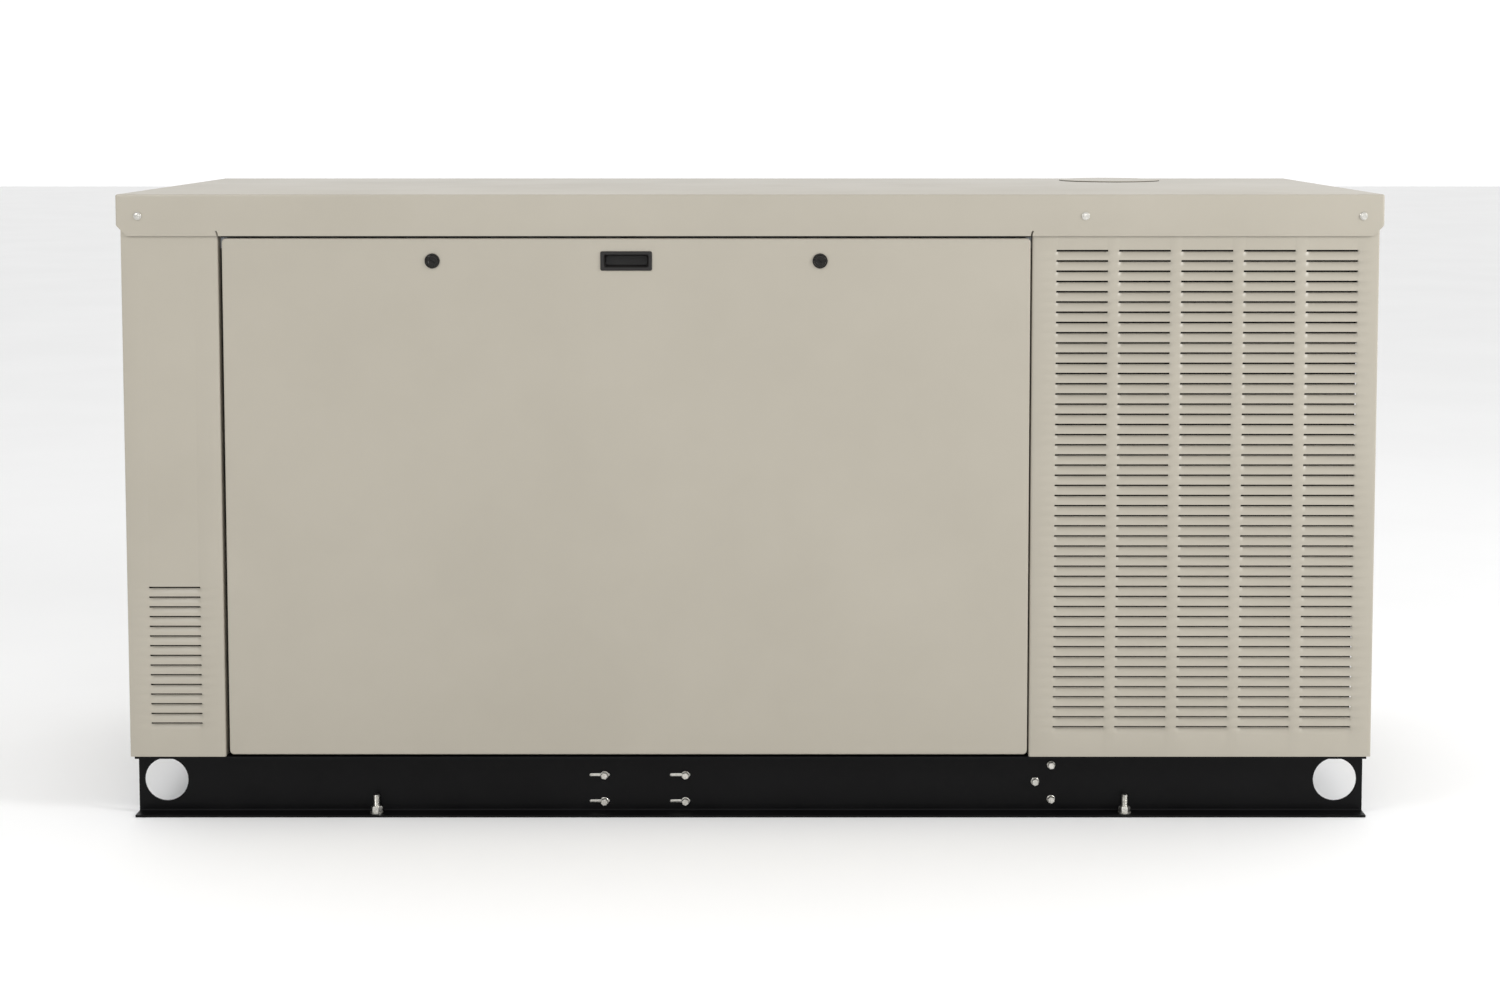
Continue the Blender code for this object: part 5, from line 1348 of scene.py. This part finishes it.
def manifolds():
    low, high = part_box("intake_manifold")
    cleanerLow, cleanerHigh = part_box("air_cleaner")
    riserAt = ((cleanerLow + cleanerHigh) / 2).xy
    runner = portLook["runner"]
    ports = [portLook["middle"] + portLook["pitch"] * step for step in (-1.5, -0.5, 0.5, 1.5)]
    forms = [softBox((low.x, high.y - 0.058, low.z + 0.006), (high.x, high.y, low.z + 0.074),
                     0.020, 6)]
    studs = []
    for across in ports:
        forms += [tube([(across, low.y + 0.002, low.z + 0.028),
                        (across, low.y + 0.030, low.z + 0.030),
                        (across, high.y - 0.030, low.z + 0.042)], runner, 28, 1),
                  plate("Y", (across - 0.031, low.z + 0.006), (across + 0.031, low.z + 0.050),
                        0.012,
                        edgeLevels(low.y, low.y + 0.009, 0.0015, 2, False))]
        for offset in (-0.0235, 0.0235):
            studs.append(((across + offset, low.y + 0.009, low.z + 0.028), (0, 1, 0),
                          20 + 600 * offset))
    profile = fromEnds(low.z, high.z, 0, [
        (0.036, -0.075), (0.036, -0.058), (0.031, -0.052), (0.031, -0.034), (0.042, -0.032),
        (0.042, -0.024), (0.033, -0.022), (0.033, -0.006), (0.0355, -0.005), (0.0355, None),
        (0, None)])
    forms.append(turned(profile, (riserAt.x, riserAt.y, 0)))
    addPiece("intake_plenum", forms, castAluminium, replaced=["intake_manifold"], smooth=40)

    low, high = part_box("exhaust_manifold")
    rim, port = portLook["logRadius"], portLook["exhaustHeight"]
    at = (0, low.y + rim, portLook["logHeight"])
    profiles = [[(0, 0), (0.018, 0), (0.026, 0.004), (rim, 0.012), (rim, -0.012),
                 (-0.002, -0.0115), (-0.002, -0.0006), (0, -0.0006)],
                [(0, -0.012), (0.0355, -0.012), (0.0355, -0.003), (0, -0.003)]]
    forms = [turned(fromEnds(low.x, high.x, rim, points), at, "X") for points in profiles]
    for across in ports:
        forms += [tube([(across, high.y - 0.002, port), (across, high.y - 0.026, port),
                        (across, at[1], 0.622)], runner, 28, 1),
                  plate("Y", (across - 0.029, 0.610), (across + 0.029, 0.653), 0.011,
                        edgeLevels(high.y, high.y - 0.008, 0.0015, 2, False))]
        for offset in (-0.0225, 0.0225):
            studs.append(((across + offset, high.y - 0.008, port), (0, -1, 0), 15 + 700 * offset))
    addPiece("exhaust_log", forms, exhaustSteel, replaced=["exhaust_manifold"], smooth=40)
    boltSet("manifold_nuts", studs, 0.0085, 0.006, 0.0056)


regulatorLook = {"pipe": 0.0135, "bolts": 10, "boltCircle": 0.0645}


def gasRegulator():
    low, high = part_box("gas_regulator")
    rim = (high.x - low.x) / 2
    at = ((low.x + high.x) / 2, 0, high.z - rim)
    start, end = low.y, high.y
    middle = (start + end) / 2
    # two dished halves, the same either side of the diaphragm's flange
    half = [(0, 0), (0.017, 0), (0.018, 0.002), (0.018, 0.007), (0.044, 0.011), (0.057, 0.019)]
    flange = [(0.0590, 0.0035), (rim, 0.0035), (rim, 0.0003)]
    profile = [(radius, start + along) for radius, along in half]
    profile += [(radius, middle - along) for radius, along in flange]
    profile.append((rim - 0.0012, middle))
    profile += [(radius, middle + along) for radius, along in reversed(flange)]
    profile += [(radius, end - along) for radius, along in reversed(half)]
    forms = [turned(profile, at, "Y", 64)]
    # gas pipe up from the floor, with a union and an elbow boss under the body
    pipe, foot, under = regulatorLook["pipe"], low.z, at[2] - rim
    profile = [(0, foot), (pipe, foot), (pipe, foot + 0.024), (pipe + 0.0035, foot + 0.025),
               (pipe + 0.0035, foot + 0.050), (pipe, foot + 0.051), (pipe, under - 0.014),
               (pipe + 0.0035, under - 0.013), (pipe + 0.0035, under + 0.006), (0, under + 0.006)]
    union = [(0, foot + 0.026), (pipe + 0.009, foot + 0.026), (pipe + 0.009, foot + 0.046),
             (0, foot + 0.046)]
    forms += [turned(profile, (at[0], middle, 0), sides=32),
              turned(union, (at[0], middle, 0), sides=6)]
    addPiece("gas_regulator_body", forms, castAluminium, replaced=["gas_regulator"], smooth=30)
    boltSet("regulator_screws", boltRing(regulatorLook["bolts"], regulatorLook["boltCircle"],
                                         (at[0], middle + 0.0035, at[2]), "Y", (0, 1, 0), 37),
            0.0055, 0.003, 0.0042)


def startAndPump():
    low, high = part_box("starter_motor")
    at = (0, (low.y + high.y) / 2, (low.z + high.z) / 2)
    rim = (high.z - low.z) / 2
    profile = fromEnds(low.x, high.x, rim, [
        (0, 0), (-0.002, 0), (rim, 0.003), (rim, 0.033), (-0.0035, 0.035), (-0.0035, -0.026),
        (-0.0015, -0.024), (-0.0015, -0.010), (-0.006, -0.004), (0.014, -0.0035), (0.013, None),
        (0, None)])
    addPiece("starter_body", turned(profile, at, "X", 56), chassisEnamel,
             replaced=["starter_motor"], smooth=30)
    low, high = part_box("water_pump")
    at = (0, 0, (low.z + high.z) / 2)
    rim = (high.z - low.z) / 2
    profile = fromEnds(low.x, high.x, rim, [
        (0, 0), (rim, 0), (rim, 0.007), (-0.001, 0.008), (-0.006, 0.0085), (-0.009, 0.034),
        (0.034, 0.046), (0.029, 0.052), (0.028, -0.004), (0.024, -0.0002), (0, -0.0002)])
    end = high.y - 0.0004
    port = turned([(0, 0.030), (0.0185, 0.030), (0.0175, end), (0, end)],
                  (pumpPort["x"], 0, at[2]), "Y", 36)
    addPiece("water_pump_body", [turned(profile, at, "X", 56), port], castAluminium,
             replaced=["water_pump"], smooth=30)
    boltSet("pump_bolts", boltRing(6, 0.0530, (low.x + 0.0078, 0, at[2]), "X", (1, 0, 0), 50),
            0.0060, 0.004, 0.0044)


mufflerLook = {"radius": 0.110, "length": 0.330, "tail": 0.030, "straps": (0.080, 0.250),
               "strapWide": 0.022, "sides": 72}


def mufflerShell():
    low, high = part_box("muffler")
    rim, tail, sides = mufflerLook["radius"], mufflerLook["tail"], mufflerLook["sides"]
    at = (0, low.y + rim, low.z + rim)
    start, end = low.x + 0.0002, low.x + mufflerLook["length"]
    profile = fromEnds(start, end, rim, [
        (0, 0), (-0.018, 0), (-0.003, 0.005), (-0.0005, 0.008), (rim, 0.010), (rim, 0.014),
        (-0.004, 0.016), (-0.004, -0.016), (rim, -0.014), (rim, -0.010), (-0.0005, -0.008),
        (-0.003, -0.005), (-0.018, None), (tail + 0.003, None)])
    profile += [(tail, end + 0.003), (tail, high.x), (tail - 0.003, high.x),
                (tail - 0.003, end + 0.006), (0, end + 0.006)]
    forms = [turned(profile, at, "X", sides)]
    half = mufflerLook["strapWide"] / 2
    for share in mufflerLook["straps"]:
        middle = low.x + share
        near, far = middle - half, middle + half
        band = [(rim - 0.003, near), (rim - 0.0005, near), (rim - 0.0005, far), (rim - 0.003, far)]
        forms.append(turned(band, at, "X", sides, hollow=True))
        for reach in (-0.045, 0.045):
            forms.append(softBox((near, at[1] + reach - 0.002, at[2] + rim - 0.014),
                                 (far, at[1] + reach + 0.002, high.z), 0.0008))
        forms.append(softBox((near, at[1] - 0.055, high.z - 0.003), (far, at[1] + 0.055, high.z),
                             0.0008))
    addPiece("muffler_shell", forms, exhaustSteel, replaced=["muffler"], smooth=30)


# folded fins between the tanks, 5 mm apart (twice the real pitch, so that they show)
radiatorLook = {"foot": 0.150, "tank": 0.070, "finPitch": 0.005, "finFold": 0.003}


def radiatorCore():
    low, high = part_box("radiator")
    foot, fold = radiatorLook["foot"], radiatorLook["finFold"]
    tankTop, tankLow = high.z - radiatorLook["tank"], foot + radiatorLook["tank"]
    forms = [softBox((low.x, low.y, tankTop), (high.x, high.y, high.z), 0.010, 4),
             softBox((low.x, low.y, foot), (high.x, high.y, tankLow), 0.010, 4)]
    for side in (-1, 1):
        forms += [sideBox(side, (low.x + 0.002, high.x - 0.002), (high.y - 0.014, high.y),
                          (tankLow - 0.006, tankTop + 0.006), 0.002),
                  sideBox(side, (low.x + 0.006, high.x - 0.006), (0.220, 0.280),
                          (low.z, 0.156), 0.003)]
    inside = high.y - 0.013
    count = int(2 * inside / radiatorLook["finPitch"])
    places = [(step % 2, -inside + 2 * inside * step / count) for step in range(count + 1)]
    outline = [(low.x + 0.008 + fold * odd, deep) for odd, deep in places]
    outline += [(high.x - 0.008 - fold * odd, deep) for odd, deep in reversed(places)]
    forms.append(extruded(outline, "Z", tankLow - 0.004, tankTop + 0.004))
    addPiece("radiator_core", forms, chassisEnamel, replaced=["radiator"], smooth=30)


for part in (flywheelBell, chargerBody, manifolds, gasRegulator, startAndPump, mufflerShell,
             radiatorCore):
    part()
print("castings and motors made")

# the frame's own pieces, each in its material
finishes = {
    chassisEnamel: ["base_rail_front", "base_rail_rear", "end_channel_left", "end_channel_right",
                    "alternator_crossmember", "engine_crossmember", "front_crossmember",
                    "radiator_crossmember", "fan_shroud", "oil_pan", "starter_motor",
                    "control_box"],
    galvanised: ["floor_pan", "front_header", "rear_header", "radiator_bulkhead"],
    castIron: ["engine_block", "alternator_housing", "radiator"],
    castAluminium: ["cylinder_head", "flywheel_housing", "water_pump", "intake_manifold",
                    "gas_regulator", "charging_alternator"],
    turnedSteel: ["crankshaft", "crank_pulley", "charging_pulley", "alternator_rotor", "dipstick",
                  "coolant_cap"],
    exhaustSteel: ["exhaust_manifold", "exhaust_pipe", "muffler"],
    blackNylon: ["valve_cover", "oil_filler_cap", "air_cleaner", "cooling_fan", "battery",
                 "circuit_breaker", "manual_button"],
    blackRubber: ["upper_hose", "lower_hose", "drive_belt"],
    milkyTank: ["coolant_tank"],
    redAbs: ["off_button", "breaker_toggle"],
    greenAbs: ["auto_button"],
}
for material, names in finishes.items():
    for name in names:
        node = nodes[name]
        node.data.materials.clear()
        node.data.materials.append(material)
print("frame pieces finished")
